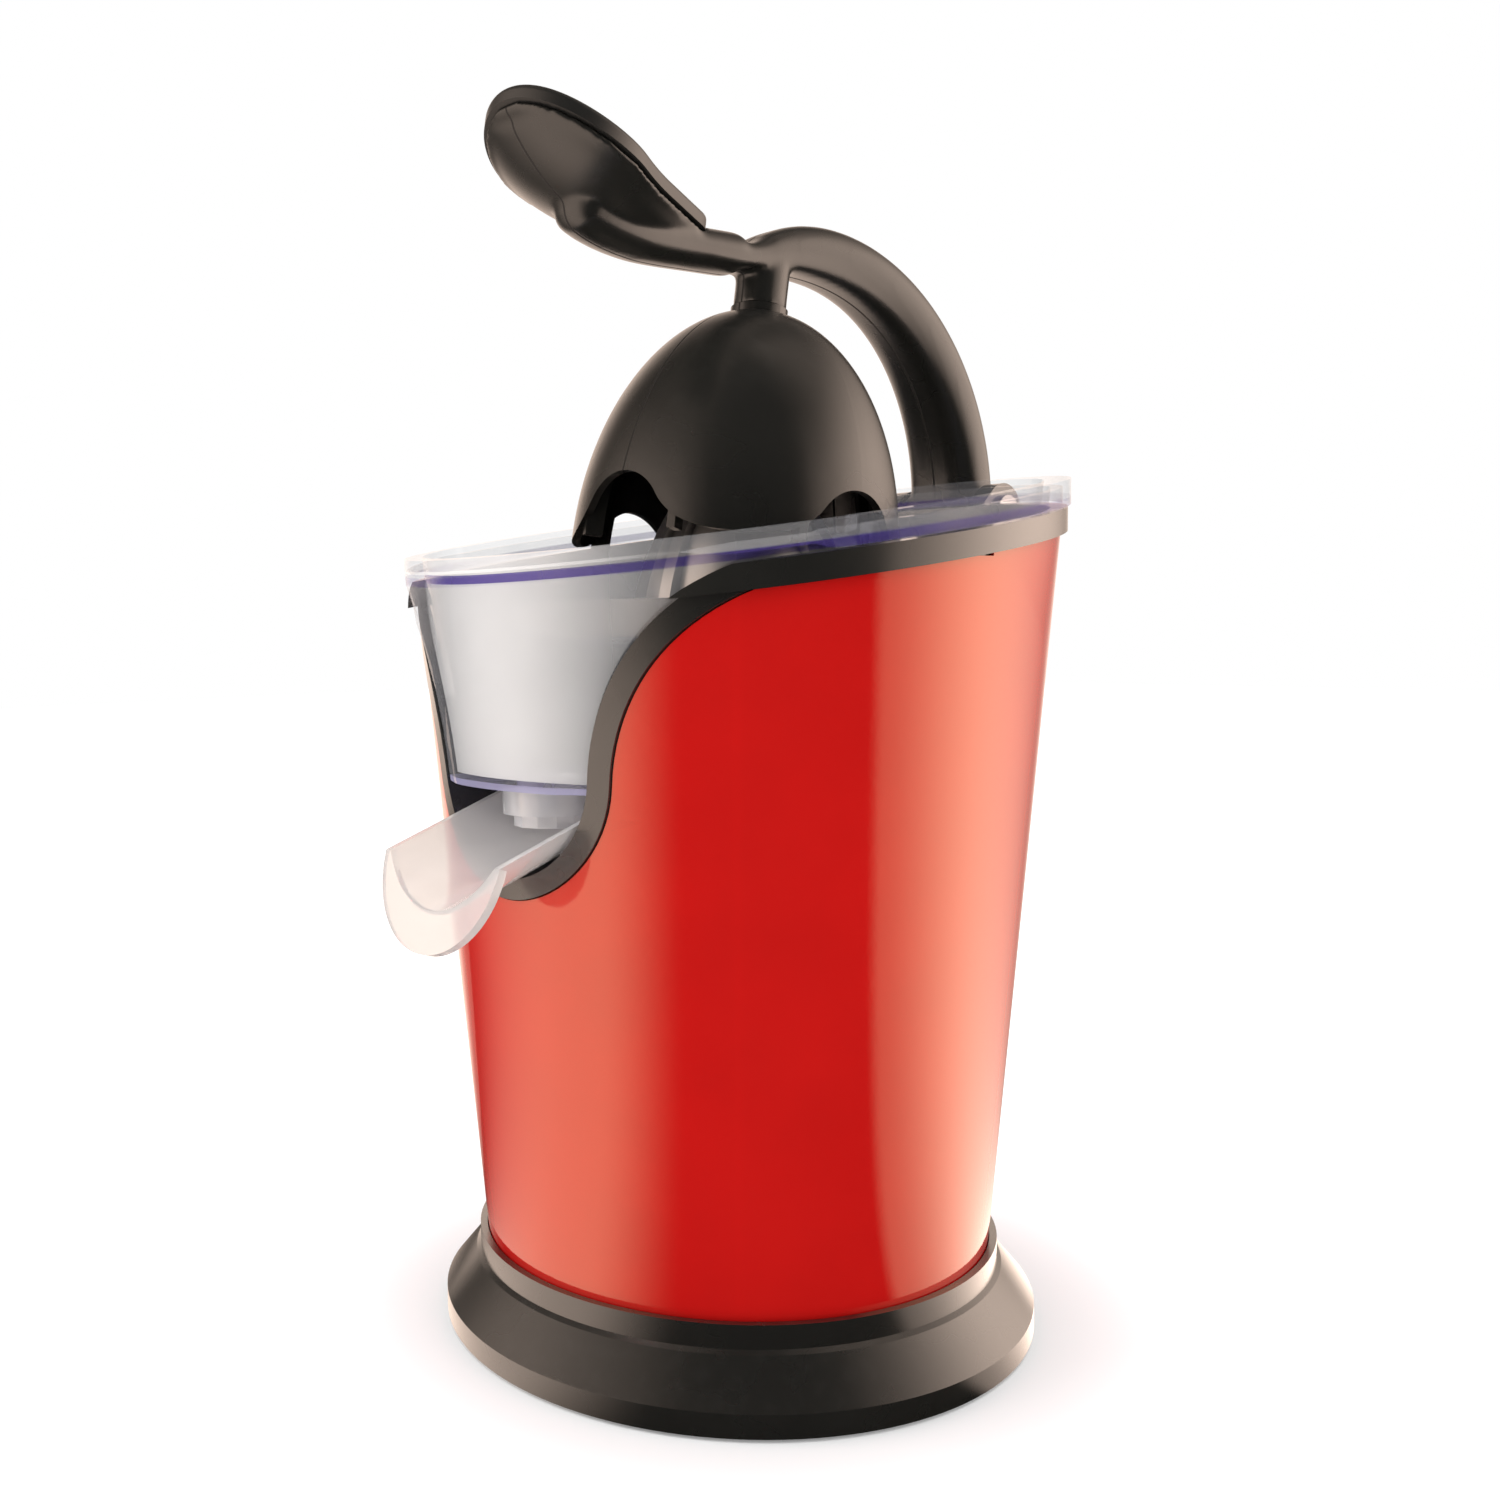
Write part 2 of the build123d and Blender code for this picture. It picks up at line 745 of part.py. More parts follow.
# Reamer: a ribbed cone on a skirt, hollow over the chimney, with a hexagon socket
with BuildPart() as reamer:
    cone_low = hub_top + reamer_skirt_h
    core_r = reamer_r - reamer_rib
    with BuildSketch(press_plane):
        with BuildLine():
            Polyline((0, hub_top), (reamer_skirt_r, hub_top), (reamer_skirt_r, cone_low))
            Line((reamer_skirt_r, cone_low), (core_r, cone_low))
            SagittaArc((core_r, cone_low), (0, reamer_top - reamer_rib), -reamer_swell)
            Line((0, reamer_top - reamer_rib), (0, hub_top))
        make_face()
    revolve(axis=press_axis)
    for turn in range(reamer_rib_pairs):
        with BuildSketch(press_section(0, 180 * turn / reamer_rib_pairs)):
            with BuildLine():
                SagittaArc((reamer_r, cone_low), (0, reamer_top), -reamer_swell)
                SagittaArc((0, reamer_top), (-reamer_r, cone_low), -reamer_swell)
                Line((-reamer_r, cone_low), (reamer_r, cone_low))
            make_face()
        extrude(amount=reamer_rib_w / 2, both=True)
    post(0, press_y, hub_top, hub_top + reamer_hollow_h, reamer_hollow_r, Mode.SUBTRACT)
    with BuildSketch(Plane((0, press_y, hub_top))):
        RegularPolygon(hex_af / 2 + slip, 6, major_radius=False)
    extrude(amount=hex_top + slip - hub_top, mode=Mode.SUBTRACT)
save(reamer, "reamer")

# Drive spindle with a cam plate, two flats for the gear and a hexagon for the reamer
cam_top = deck_low - bush_flange_t - 2 * slip
cam_low = cam_top - cam_t
with BuildPart() as drive_spindle:
    with BuildSketch(Plane((0, press_y, spindle_low))):
        Circle(spindle_r)
        Rectangle(4 * spindle_r, spindle_flats, mode=Mode.INTERSECT)
    extrude(amount=cam_low - spindle_low)
    post(0, press_y, cam_low, cam_top, cam_r)
    post(0, press_y, cam_top, hex_low, spindle_r)
    with BuildSketch(Plane((0, press_y, hex_low))):
        RegularPolygon(hex_af / 2, 6, major_radius=False)
    extrude(amount=hex_top - hex_low)
save(drive_spindle, "drive_spindle")

# Flanged bush and lip seal in the hub of the deck
with BuildPart() as spindle_bush:
    post(0, press_y, deck_low - bush_flange_t, deck_low, bush_flange_r)
    post(0, press_y, deck_low, hub_top - seal_t, bush_r)
    post(0, press_y, deck_low - FAR, hub_top, spindle_r + run, Mode.SUBTRACT)
save(spindle_bush, "spindle_bush")
with BuildPart() as spindle_seal:
    post(0, press_y, hub_top - seal_t, hub_top, bush_r)
    post(0, press_y, hub_top - seal_t, hub_top, spindle_r + slip, Mode.SUBTRACT)
save(spindle_seal, "spindle_seal")

# Output gear: the spindle slides through it and turns with it
gear_hub_top = slow_low + slow_face + gear_hub_h
with BuildPart() as output_gear:
    gear(press_y, slow_low, slow_face, wheel_teeth, slow_module, 90)
    post(0, press_y, plate_low + plate_t + slip, gear_hub_top, gear_hub_r)
    with BuildSketch(Plane((0, press_y, plate_low))):
        Circle(spindle_r + run)
        Rectangle(4 * spindle_r, spindle_flats + 2 * run, mode=Mode.INTERSECT)
    extrude(amount=gear_hub_top - plate_low, mode=Mode.SUBTRACT)
    with BuildSketch(Plane((0, press_y, slow_low))):
        with PolarLocations(web_hole_place, web_holes):
            Circle(web_hole_r)
    extrude(amount=slow_face, mode=Mode.SUBTRACT)
save(output_gear, "output_gear")

# Idler: the large gear meets the motor pinion and the small one meets the output gear
pinion_step = 360 / pinion_teeth / 2
shoulder_z = fast_low - pinion_over
with BuildPart() as idler_gear:
    gear(idler_y, fast_low, fast_face, wheel_teeth, fast_module, -90)
    pinion_low = fast_low + fast_face
    pinion_h = slow_low + slow_face - pinion_low
    gear(idler_y, pinion_low, pinion_h, pinion_teeth, slow_module, pinion_step - 90)
    post(0, idler_y, fast_low - through, slow_low + slow_face + through, axle_r + run, Mode.SUBTRACT)
save(idler_gear, "idler_gear")
with BuildPart() as idler_axle:
    post(0, idler_y, mount_low, deck_low - fit, axle_r)
save(idler_axle, "idler_axle")
with BuildPart() as motor_pinion:
    pinion_face = fast_face + 2 * pinion_over
    gear(motor_y, shoulder_z, pinion_face, pinion_teeth, fast_module, 90 + pinion_step)
    post(0, motor_y, shoulder_z - through, plate_low, pinion_shaft_r + run, Mode.SUBTRACT)
save(motor_pinion, "motor_pinion")

# Gear plate between the two stages
with BuildPart() as gear_plate:
    with BuildSketch(Plane.XY.offset(plate_low)):
        with at_posts():
            Circle(post_r + plate_margin)
        with Locations((0, idler_y)):
            Circle(idler_clear_r + idler_margin)
        make_hull()
        with at_posts():
            Circle(screw_r + slip, mode=Mode.SUBTRACT)
        with Locations((0, idler_y)):
            Circle(idler_clear_r, mode=Mode.SUBTRACT)
        with Locations((0, press_y)):
            Circle(spindle_r + run, mode=Mode.SUBTRACT)
    extrude(amount=plate_t)
save(gear_plate, "gear_plate")

# Motor mount: posts up to the gear plate, spacers down to the stator, upper bearing seat
stator_top = stator_low + stator_h
lugs = [(lug_x, motor_y), (-lug_x, motor_y)]
with BuildPart() as motor_mount:
    with BuildSketch(Plane.XY.offset(mount_low)):
        with at_posts():
            Circle(post_r + plate_margin)
        with Locations((0, idler_y), *lugs):
            Circle(lug_r + plate_margin)
        make_hull()
    extrude(amount=mount_t)
    columns(at_posts(), mount_low, plate_low, post_r)
    columns(Locations(*lugs), stator_top, mount_low, lug_r)
    post(0, motor_y, mount_low + mount_t - bearing_h, mount_low, bearing_r + bearing_wall)
    post(0, motor_y, mount_low - FAR, mount_low + mount_t, bearing_r + run, Mode.SUBTRACT)
    columns(at_posts(), mount_low, plate_low, screw_r + slip, Mode.SUBTRACT)
    columns(Locations(*lugs), stator_top, mount_low + mount_t, screw_r + slip, Mode.SUBTRACT)
    post(0, idler_y, mount_low, mount_low + mount_t, axle_r + run, Mode.SUBTRACT)
save(motor_mount, "motor_mount")

# Screws that hold the gear plates to the deck
with BuildPart() as chassis_screws:
    columns(at_posts(), mount_low - screw_head_h, mount_low, screw_head_r)
    columns(at_posts(), mount_low, mount_low + chassis_screw_l, screw_r)
save(chassis_screws, "chassis_screws")

# Stator stack with two poles and bolt lugs
with BuildPart() as motor_stator:
    with BuildSketch(Plane((0, motor_y, stator_low))):
        Circle(stator_r)
        with Locations((lug_x, 0), (-lug_x, 0)):
            Circle(lug_r)
        Circle(stator_r - stator_ring, mode=Mode.SUBTRACT)
        Rectangle(pole_w, 2 * stator_r - stator_ring)
        Circle(bore_r, mode=Mode.SUBTRACT)
        with Locations((lug_x, 0), (-lug_x, 0)):
            Circle(screw_r + slip, mode=Mode.SUBTRACT)
    extrude(amount=stator_h)
save(motor_stator, "motor_stator")

# Field coils round the poles
with BuildPart() as field_coils:
    for side in (-1, 1):
        with Locations((0, motor_y + side * (coil_in + coil_out) / 2, stator_low + stator_h / 2)):
            Box(pole_w + 2 * coil_w, coil_out - coil_in, stator_h + 2 * coil_over)
    with Locations((0, motor_y, stator_low + stator_h / 2)):
        Box(pole_w + 2 * fit, 4 * stator_r, stator_h + 2 * fit, mode=Mode.SUBTRACT)
save(field_coils, "field_coils")

# Rotor on its shaft, and the fan above the coils
with BuildPart() as rotor:
    post(0, motor_y, shaft_low, shoulder_z - slip, shaft_r)
    post(0, motor_y, shoulder_z - slip, fast_low + fast_face + pinion_over, pinion_shaft_r)
    post(0, motor_y, stator_low, stator_top, rotor_r)
save(rotor, "rotor")
with BuildPart() as cooling_fan:
    post(0, motor_y, fan_low, fan_low + fan_h, fan_hub_r)
    post(0, motor_y, fan_low, fan_low + fan_disc_t, fan_r)
    with BuildSketch(Plane((0, motor_y, fan_low))):
        with PolarLocations((fan_hub_r + fan_r) / 2 - fan_disc_t, fan_blades):
            Rectangle(fan_r - fan_hub_r, fan_disc_t)
    extrude(amount=fan_h)
    post(0, motor_y, fan_low, fan_low + fan_h, shaft_r + run, Mode.SUBTRACT)
save(cooling_fan, "cooling_fan")

# Lower bearing bracket, the two bearing bushes and the long motor bolts
with BuildPart() as motor_bracket:
    with BuildSketch(Plane.XY.offset(bracket_low)):
        with Locations(*lugs):
            Circle(lug_r)
        with Locations((0, motor_y)):
            Circle(bearing_r + bracket_wall)
        make_hull()
        with Locations((0, motor_y)):
            Circle(bearing_r + run, mode=Mode.SUBTRACT)
    extrude(amount=bracket_t)
    columns(Locations(*lugs), bracket_low, stator_low, lug_r)
    columns(Locations(*lugs), bracket_low, stator_low, screw_r + slip, Mode.SUBTRACT)
save(motor_bracket, "motor_bracket")
with BuildPart() as motor_bearings:
    post(0, motor_y, mount_low + mount_t - bearing_h, mount_low + mount_t, bearing_r)
    post(0, motor_y, bracket_low, bracket_low + bearing_h, bearing_r)
    post(0, motor_y, bracket_low, mount_low + mount_t, shaft_r + run, Mode.SUBTRACT)
save(motor_bearings, "motor_bearings")
with BuildPart() as motor_bolts:
    columns(Locations(*lugs), bracket_low - screw_head_h, bracket_low, screw_head_r)
    columns(Locations(*lugs), bracket_low, mount_low + mount_t, screw_r)
save(motor_bolts, "motor_bolts")

# Start switch under the deck, with the plunger that the cam plate pushes
with BuildPart() as start_switch:
    with Locations((switch_in + switch_l / 2, press_y, switch_top - switch_h)):
        Box(switch_l, switch_w, switch_h, align=UP)
    post(plunger_in, press_y, switch_top - plunger_h - fit, switch_top, plunger_r + slip, Mode.SUBTRACT)
save(start_switch, "start_switch")
with BuildPart() as switch_plunger:
    plunger_top = cam_low - fit
    post(plunger_in, press_y, switch_top - plunger_h + press_travel, plunger_top, plunger_r)
save(switch_plunger, "switch_plunger")


def helix_point(turn, low, pitch):
    """Point and direction on the spring's centre line after a number of turns."""
    angle = 2 * pi * turn
    place = Vector(spring_r * cos(angle), press_y + spring_r * sin(angle), low + pitch * turn)
    ahead = Vector(-spring_r * sin(angle), spring_r * cos(angle), pitch / (2 * pi)).normalized()
    return place, ahead


# Press spring between the gear hub and the cam plate: quarter turns, each of two tangent arcs
spring_low = gear_hub_top + spring_wire_r + slip
spring_pitch = (cam_low - spring_wire_r - slip - spring_low) / spring_turns
with BuildPart() as press_spring:
    with BuildLine() as spring_line:
        for quarter in range(4 * spring_turns):
            start, out = helix_point(quarter / 4, spring_low, spring_pitch)
            end, into = helix_point((quarter + 1) / 4, spring_low, spring_pitch)
            span = end - start
            both = out + into
            bend = 2 * (1 - out.dot(into))
            reach = (sqrt(span.dot(both) ** 2 + bend * span.dot(span)) - span.dot(both)) / bend
            middle = (start + out * reach + end - into * reach) * 0.5
            across = (end - into * reach - start - out * reach).normalized()
            TangentArc(start, middle, tangent=out)
            TangentArc(middle, end, tangent=across)
    start, out = helix_point(0, spring_low, spring_pitch)
    with BuildSketch(Plane(start, z_dir=out)):
        Circle(spring_wire_r)
    sweep()
save(press_spring, "press_spring")
print(f"press spring gap between turns {spring_pitch - 2 * spring_wire_r:.2f} mm")

# Spout: a sloping trough with a deep lip that leans outwards, on two trunnions
slope = radians(spout_slope)
lean = radians(spout_lip_lean)
lip_place = (0, spout_lip_y, spout_lip_z)
lip_plane = Plane(lip_place, x_dir=(1, 0, 0), z_dir=(0, -cos(lean), sin(lean)))
spout_start = Vector(*lip_place) - Vector(0, cos(slope), sin(slope)) * spout_w / 2
trough_plane = Plane(spout_start, x_dir=(1, 0, 0), z_dir=(0, cos(slope), sin(slope)))
bay_half = sqrt((bay_r - trim_w) ** 2 - (bay_z - trunnion_z) ** 2)
with BuildPart() as trough_inside:
    with BuildSketch(trough_plane):
        with BuildLine():
            inner_w = spout_w / 2 - spout_t
            ThreePointArc((-inner_w, 0), (0, spout_depth - spout_t), (inner_w, 0))
            Polyline((inner_w, 0), (inner_w, -spout_w), (-inner_w, -spout_w), (-inner_w, 0))
        make_face()
    extrude(amount=spout_l + spout_w / 2 - spout_t)
with BuildPart() as spout:
    with BuildSketch(trough_plane):
        with BuildLine():
            ThreePointArc((-spout_w / 2, 0), (0, spout_depth), (spout_w / 2, 0))
            Line((spout_w / 2, 0), (-spout_w / 2, 0))
        make_face()
    extrude(amount=spout_l + spout_w / 2)
    split(bisect_by=lip_plane, keep=Keep.BOTTOM)
    with BuildSketch(lip_plane):
        with BuildLine():
            ThreePointArc((-spout_w / 2, 0), (0, -spout_drop), (spout_w / 2, 0))
            Line((spout_w / 2, 0), (-spout_w / 2, 0))
        make_face()
    extrude(amount=-spout_drop_t)
    add(trough_inside.part, mode=Mode.SUBTRACT)
    split(bisect_by=Plane.XY.offset(chamber_low - spout_under), keep=Keep.BOTTOM)
    for side in (-1, 1):
        cross_pin(trunnion_y, trunnion_z, side * trunnion_in, side * (bay_half + trunnion_l), trunnion_r)
save(spout, "spout")

# Lever arm: an arch from the hinge over the dome, thin at the waist, then a keel under the palm rest
palm_bend_z = palm_z + palm_bend_r


def palm_height(y, z):
    """Height of a place over the underside of the palm rest, square to it."""
    if y > palm_bend_y:
        return z - palm_z
    return palm_bend_r - hypot(y - palm_bend_y, z - palm_bend_z)


def palm_slab(low, high, inset):
    """Plate of the palm rest between two heights over its underside, inset from its outline."""
    with BuildPart() as slab:
        with BuildSketch(Plane.YZ.offset(-palm_r)) as profile:
            with Locations((palm_bend_y, palm_bend_z)):
                Circle(palm_bend_r - low)
                Circle(palm_bend_r - high, mode=Mode.SUBTRACT)
                Rectangle(FAR, FAR, align=(Align.MAX, Align.MAX), mode=Mode.INTERSECT)
            with Locations((palm_bend_y, palm_z + low)):
                Rectangle(FAR, high - low, align=(Align.MIN, Align.MIN))
        extrude(profile.sketch, amount=2 * palm_r)
        with BuildSketch() as plan:
            with Locations((0, palm_tip_y + palm_r)):
                Circle(palm_r - inset)
            with Locations((0, palm_heel_y - heel_r)):
                Circle(heel_r - inset)
            make_hull()
        extrude(plan.sketch, amount=palm_bend_z, mode=Mode.INTERSECT)
    return slab.part


def belly_section(y, half, depth):
    """Section of the belly under the palm rest."""
    under = palm_bend_z - sqrt(palm_bend_r**2 - min(y - palm_bend_y, 0) ** 2)
    top = under + palm_rim_t / 2
    with BuildSketch(Plane.XZ.offset(-y)) as section:
        with BuildLine():
            ThreePointArc((-half, top), (0, under - depth), (half, top))
            Line((half, top), (-half, top))
        make_face()
    return section.sketch


def beam_section(y, rise, turn, width, thickness):
    """Rounded section of the lever beam, square to the beam, at a height over the pin."""
    along = (0, -sin(radians(turn)), cos(radians(turn)))
    with BuildSketch(Plane((0, y, pin_z + rise), x_dir=(1, 0, 0), z_dir=along)) as section:
        RectangleRounded(width, thickness, section_round * thickness)
    return section.sketch


neck_y, neck_rise, neck_turn, waist_w, neck_t = neck_place
with BuildPart() as lever_arm:
    sections = []
    for turn in arch_turns:
        outer_y = arch_y + arch_r * cos(radians(turn))
        outer_z = arch_z + arch_r * sin(radians(turn))
        inside_y = inner_y + inner_r * cos(radians(turn))
        inside_z = inner_z + inner_r * sin(radians(turn))
        middle_y = (outer_y + inside_y) / 2
        middle_rise = (outer_z + inside_z) / 2 - pin_z
        width = arm_w + (waist_w - arm_w) * turn / neck_turn
        thickness = hypot(outer_y - inside_y, outer_z - inside_z)
        sections.append(beam_section(middle_y, middle_rise, turn, width, thickness))
    loft(sections + [beam_section(*neck_place)])
    loft([beam_section(*place) for place in (neck_place, *keel_places)])
    loft([beam_section(*place) for place in (keel_places[-1], nose_place)])
    cross_pin(pin_y, pin_z, -arm_w / 2, arm_w / 2, foot_eye_r)
    post(0, press_y, dome_top + dome_boss_h, pin_z + neck_rise, neck_rod_r)
    loft([belly_section(y, half, depth) for y, half, depth in belly_places])
    add(palm_slab(0, palm_rim_t, pad_step))
    add(palm_slab(palm_rim_t, palm_rim_t + 2 * pad_t, -slip), mode=Mode.SUBTRACT)
    cross_pin(pin_y, pin_z, -FAR, FAR, pin_r + run, Mode.SUBTRACT)
    post(0, press_y, dome_top, dome_top + dome_screw_l, dome_screw_r + slip, Mode.SUBTRACT)
save_raised(lever_arm, "lever_arm")

# Palm pad on top of the lever
with BuildPart() as palm_pad:
    add(palm_slab(palm_rim_t, palm_rim_t + pad_t, 0))
    rim_edges = []
    for edge in palm_pad.edges():
        place = edge @ 0.5
        on_top = abs(palm_height(place.Y, place.Z) - palm_rim_t - pad_t) < near
        if on_top and abs(place.Y - palm_bend_y) > near:
            rim_edges.append(edge)
    fillet(rim_edges, pad_round)
save_raised(palm_pad, "palm_pad")

# Dome with four arches in its edge and grip ribs inside
dome_eq = dome_top - dome_h
screw_seat = dome_top - dome_t - inner_boss_h
dome_plane = press_section(dome_eq, 0)


def dome_solid(shrink):
    """The dome's outer form, shrunk by a wall, down to its edge."""
    with BuildPart() as solid:
        with BuildSketch(dome_plane):
            Ellipse(dome_r - shrink, dome_h - shrink)
            with Locations((0, dome_low - dome_eq)):
                Rectangle(dome_r, dome_h, align=(Align.MIN, Align.MIN), mode=Mode.INTERSECT)
        revolve(axis=press_axis)
    return solid.part


with BuildPart() as grip_ribs:
    add(dome_solid(dome_t / 2))
    add(dome_solid(dome_t + grip_h), mode=Mode.SUBTRACT)
    with BuildSketch(Plane((0, press_y, dome_low))):
        with PolarLocations(dome_r / 2, grip_count, 180 / grip_count):
            Rectangle(dome_r, grip_w)
    extrude(amount=dome_h, mode=Mode.INTERSECT)
with BuildPart() as press_dome:
    add(dome_solid(0))
    add(dome_solid(dome_t), mode=Mode.SUBTRACT)
    post(0, press_y, screw_seat, dome_top + dome_boss_h, dome_boss_r)
    wave = dome_r * sin(radians(arch_half))
    for turn in (0, 90):
        with BuildSketch(press_section(dome_eq, turn)):
            with BuildLine():
                low = dome_low - dome_eq
                crest = low + arch_rise
                turn_x = wave * arch_share
                turn_z = crest - arch_rise * arch_share
                TangentArc((-wave, low), (-turn_x, turn_z), tangent=(1, 0))
                ThreePointArc((-turn_x, turn_z), (0, crest), (turn_x, turn_z))
                TangentArc((wave, low), (turn_x, turn_z), tangent=(-1, 0))
                Polyline((wave, low), (wave, low - dome_h), (-wave, low - dome_h), (-wave, low))
            make_face()
        extrude(amount=dome_r + through, both=True, mode=Mode.SUBTRACT)
    add(grip_ribs.part)
    post(0, press_y, dome_low, dome_top + FAR, dome_screw_r + slip, Mode.SUBTRACT)
    post(0, press_y, dome_low, screw_seat, dome_screw_head_r + fit, Mode.SUBTRACT)
save_raised(press_dome, "press_dome")

# Screw that holds the dome to the lever, from inside the dome
with BuildPart() as dome_screw:
    post(0, press_y, screw_seat - dome_screw_head_h, screw_seat, dome_screw_head_r)
    post(0, press_y, screw_seat, dome_top + dome_screw_l - screw_end, dome_screw_r)
save_raised(dome_screw, "dome_screw")
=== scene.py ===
"""Looks of an electric citrus juicer with a press lever, as an add-on that runs as a script."""

import math

import bpy
from bpy.props import FloatProperty, FloatVectorProperty, PointerProperty
from mathutils import Matrix, Vector
from mathutils.bvhtree import BVHTree


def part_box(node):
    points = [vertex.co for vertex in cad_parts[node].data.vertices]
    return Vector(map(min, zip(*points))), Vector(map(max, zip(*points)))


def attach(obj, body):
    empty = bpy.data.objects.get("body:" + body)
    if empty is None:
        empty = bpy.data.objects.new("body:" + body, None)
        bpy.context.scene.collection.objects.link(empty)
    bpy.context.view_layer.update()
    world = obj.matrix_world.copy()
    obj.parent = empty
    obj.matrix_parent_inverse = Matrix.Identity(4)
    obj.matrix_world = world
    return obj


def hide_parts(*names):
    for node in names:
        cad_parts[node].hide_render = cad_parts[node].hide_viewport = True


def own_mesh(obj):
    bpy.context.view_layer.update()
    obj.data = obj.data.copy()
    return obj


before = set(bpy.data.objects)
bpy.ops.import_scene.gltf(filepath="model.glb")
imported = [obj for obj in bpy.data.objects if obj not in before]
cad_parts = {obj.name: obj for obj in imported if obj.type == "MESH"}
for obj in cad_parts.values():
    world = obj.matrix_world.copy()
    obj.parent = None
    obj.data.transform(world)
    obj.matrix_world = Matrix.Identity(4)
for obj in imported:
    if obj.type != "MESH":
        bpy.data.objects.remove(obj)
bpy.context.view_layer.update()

bl_info = {
    "name": "Citrus juicer looks",
    "version": (1, 0, 0),
    "blender": (4, 5, 0),
    "location": "3D View > Sidebar > Juicer",
    "description": "Finishes, stage and camera of a citrus juicer with a press lever",
    "category": "Object",
}

# The white walls that gloss mirrors: the directions between which each comes up and fades, in
# degrees round the juicer from the spout, and its levels
LEFT_WALL = (-92.0, -32.0, -10.0, 27.0)
LEFT_LEVEL = 1.75
LEFT_START = 0.05
RIGHT_WALL = (96.0, 103.0, 148.0, 205.0)
RIGHT_LEVEL = 3.3
RIGHT_EDGE = 0.25
RIGHT_END = 0.4
BACK_WALL = (195.0, 220.0, 246.0, 266.0)
BACK_LEVEL = 1.1
WALL_TINT = (1.0, 0.79, 0.66, 1.0)

# Upward slopes of a direction between which the walls fade into the ceiling, and its level
WALL_TOP = (0.25, 0.80)
CEILING_LEVEL = 0.15

# The direction about which the walls spread, how much wider they are on the floor, and the slopes
# between which that widening ends
ROOM_MIDDLE = 44.0
FLOOR_SPREAD = 1.115
HORIZON = (-0.05, 0.10)

# The floor, and the ring round the base in which its own light comes up from a share of it,
# which paints a shadow round the base
FLOOR_SIZE = 8.0
FLOOR_COLOUR = (0.8, 0.8, 0.8, 1.0)
PAINTED_SHADOW_RING = (0.088, 0.16)
PAINTED_SHADOW_SHARE = 0.4

# Place and size of each soft lamp, and what they all look at
LAMPS = {
    "key": ((-0.65, -1.0, 0.85), 0.9),
    "fill": ((1.15, 0.25, 0.75), 0.8),
    "top": ((0.1, 0.1, 1.5), 1.0),
}
LAMP_TARGET = (0.0, 0.0, 0.15)

# The camera's sensor in millimetres and its nearest distance in metres
SENSOR_WIDTH = 36.0
CLIP_START = 0.01

# Values that several finishes share
MOTTLE = (0.3, 0.7)
SEAM_WIDTH = 0.0005
SEAM_COLOUR = (0.004, 0.004, 0.004)
DUST_ON_RED = (0.5, 0.46, 0.44)
DUST_ON_PLASTIC = (0.34, 0.32, 0.30)
ENAMEL_IOR = 1.95
ENAMEL_MIRROR = (1.0, 0.92, 0.66, 1.0)
COAT_ROUGHNESS = 0.15
COAT_IOR = 1.6
CLEAR_IOR = 1.49
CLEAR_SHADOW = (0.93, 0.92, 0.95, 1.0)
CLEAR_INSIDE = (0.75, 0.70, 0.92, 1.0)
NOZZLE_COLOUR = (0.95, 0.94, 0.94)
STRAINER_SHARE = 0.3

# Thin clear walls: roughness, and what is covered more at a grazing view, in the rim and the floor,
# where the cover carries the painted refracted light of the thick edges
THIN_ROUGHNESS = 0.08
GRAZING_COVER = 0.22
RIM_COVER = 0.10
FLOOR_COVER = 0.40

# Faces that count as turned about the upright axis: how far they look out, and how little askew
TURNED_FACING = 0.5
TURNED_TRUE = 0.985

# The lever's hinge, how far it is raised, and the tongue under its palm rest with the lever down
LEVER_PIN = (0.107496, 0.241)
LEVER_RAISED = math.radians(9.5)
TONGUE_KEEL = (
    (-0.0662, 0.2832),
    (-0.0622, 0.2824),
    (-0.0580, 0.2820),
    (-0.0538, 0.2819),
    (-0.0496, 0.2820),
    (-0.0454, 0.2823),
    (-0.0412, 0.2829),
    (-0.0370, 0.2836),
    (-0.0328, 0.2844),
    (-0.0286, 0.2852),
    (-0.0244, 0.2860),
    (-0.0202, 0.2868),
    (-0.0160, 0.2876),
    (-0.0118, 0.2884),
)
TONGUE_SIZE = (0.0088, 0.0062, 0.0062)
PAD_GROOVE = 0.0006

# How the lever's forms are run together: grid, strength and rounds of smoothing, and how far from
# other pieces the smoothing begins and over which distance it comes up
LEVER_GRID = 0.0008
LEVER_EASE = 0.5
LEVER_ROUNDS = 20
FREE_FROM = 0.0002
FREE_SPAN = 0.003

# Where the base ring's skirt begins and ends, as radius and height
SKIRT = ((0.0880, 0.0075), (0.0787, 0.0186))

# The collector's rim: its height at the axis, its slant in degrees, its tinted edge below the top,
# and the height of the tinted edge along the chamber's floor. The violet of these edges is partly
# the plastic's own tint and partly painted refracted light
RIM_Z = 0.2375
RIM_SLANT = 8.0
RIM_EDGE = (0.0072, 0.0048)
FLOOR_EDGE = 0.0016

# The collector's front wall: where it begins, its outer radius at the foot and at the top, and its
# height. Then where its milky inside begins above the foot, how far a point may stand off the wall,
# how far the wall is moved out at the foot and how much more at the top, and which way is inwards
FRONT_WALL_Y = -0.050
OUTER_WALL = (0.0871, 0.0920)
OUTER_WALL_H = 0.0553
WALL_FOOT = 0.001
WALL_SLACK = 0.0008
WALL_OUT = (0.0014, 0.0024)
INWARD = -0.5

# The rim over that wall: the drop where its top ends and where its underside begins. Then, for two
# edges, the radius that parts inner from outer points, and the radius and drop these are moved to
RIM_TOP = 0.001
RIM_UNDER = 0.0025
LOW_EDGE = (0.0949, (0.09590, 0.0030), (0.09595, 0.0022))
HIGH_EDGE = (0.0930, (0.09586, 0.0046), (0.09588, 0.0038))

# From which gap to the black housing that move begins, and over which distance it comes up
HOUSING_GAP = 0.0015
HOUSING_SPAN = 0.008

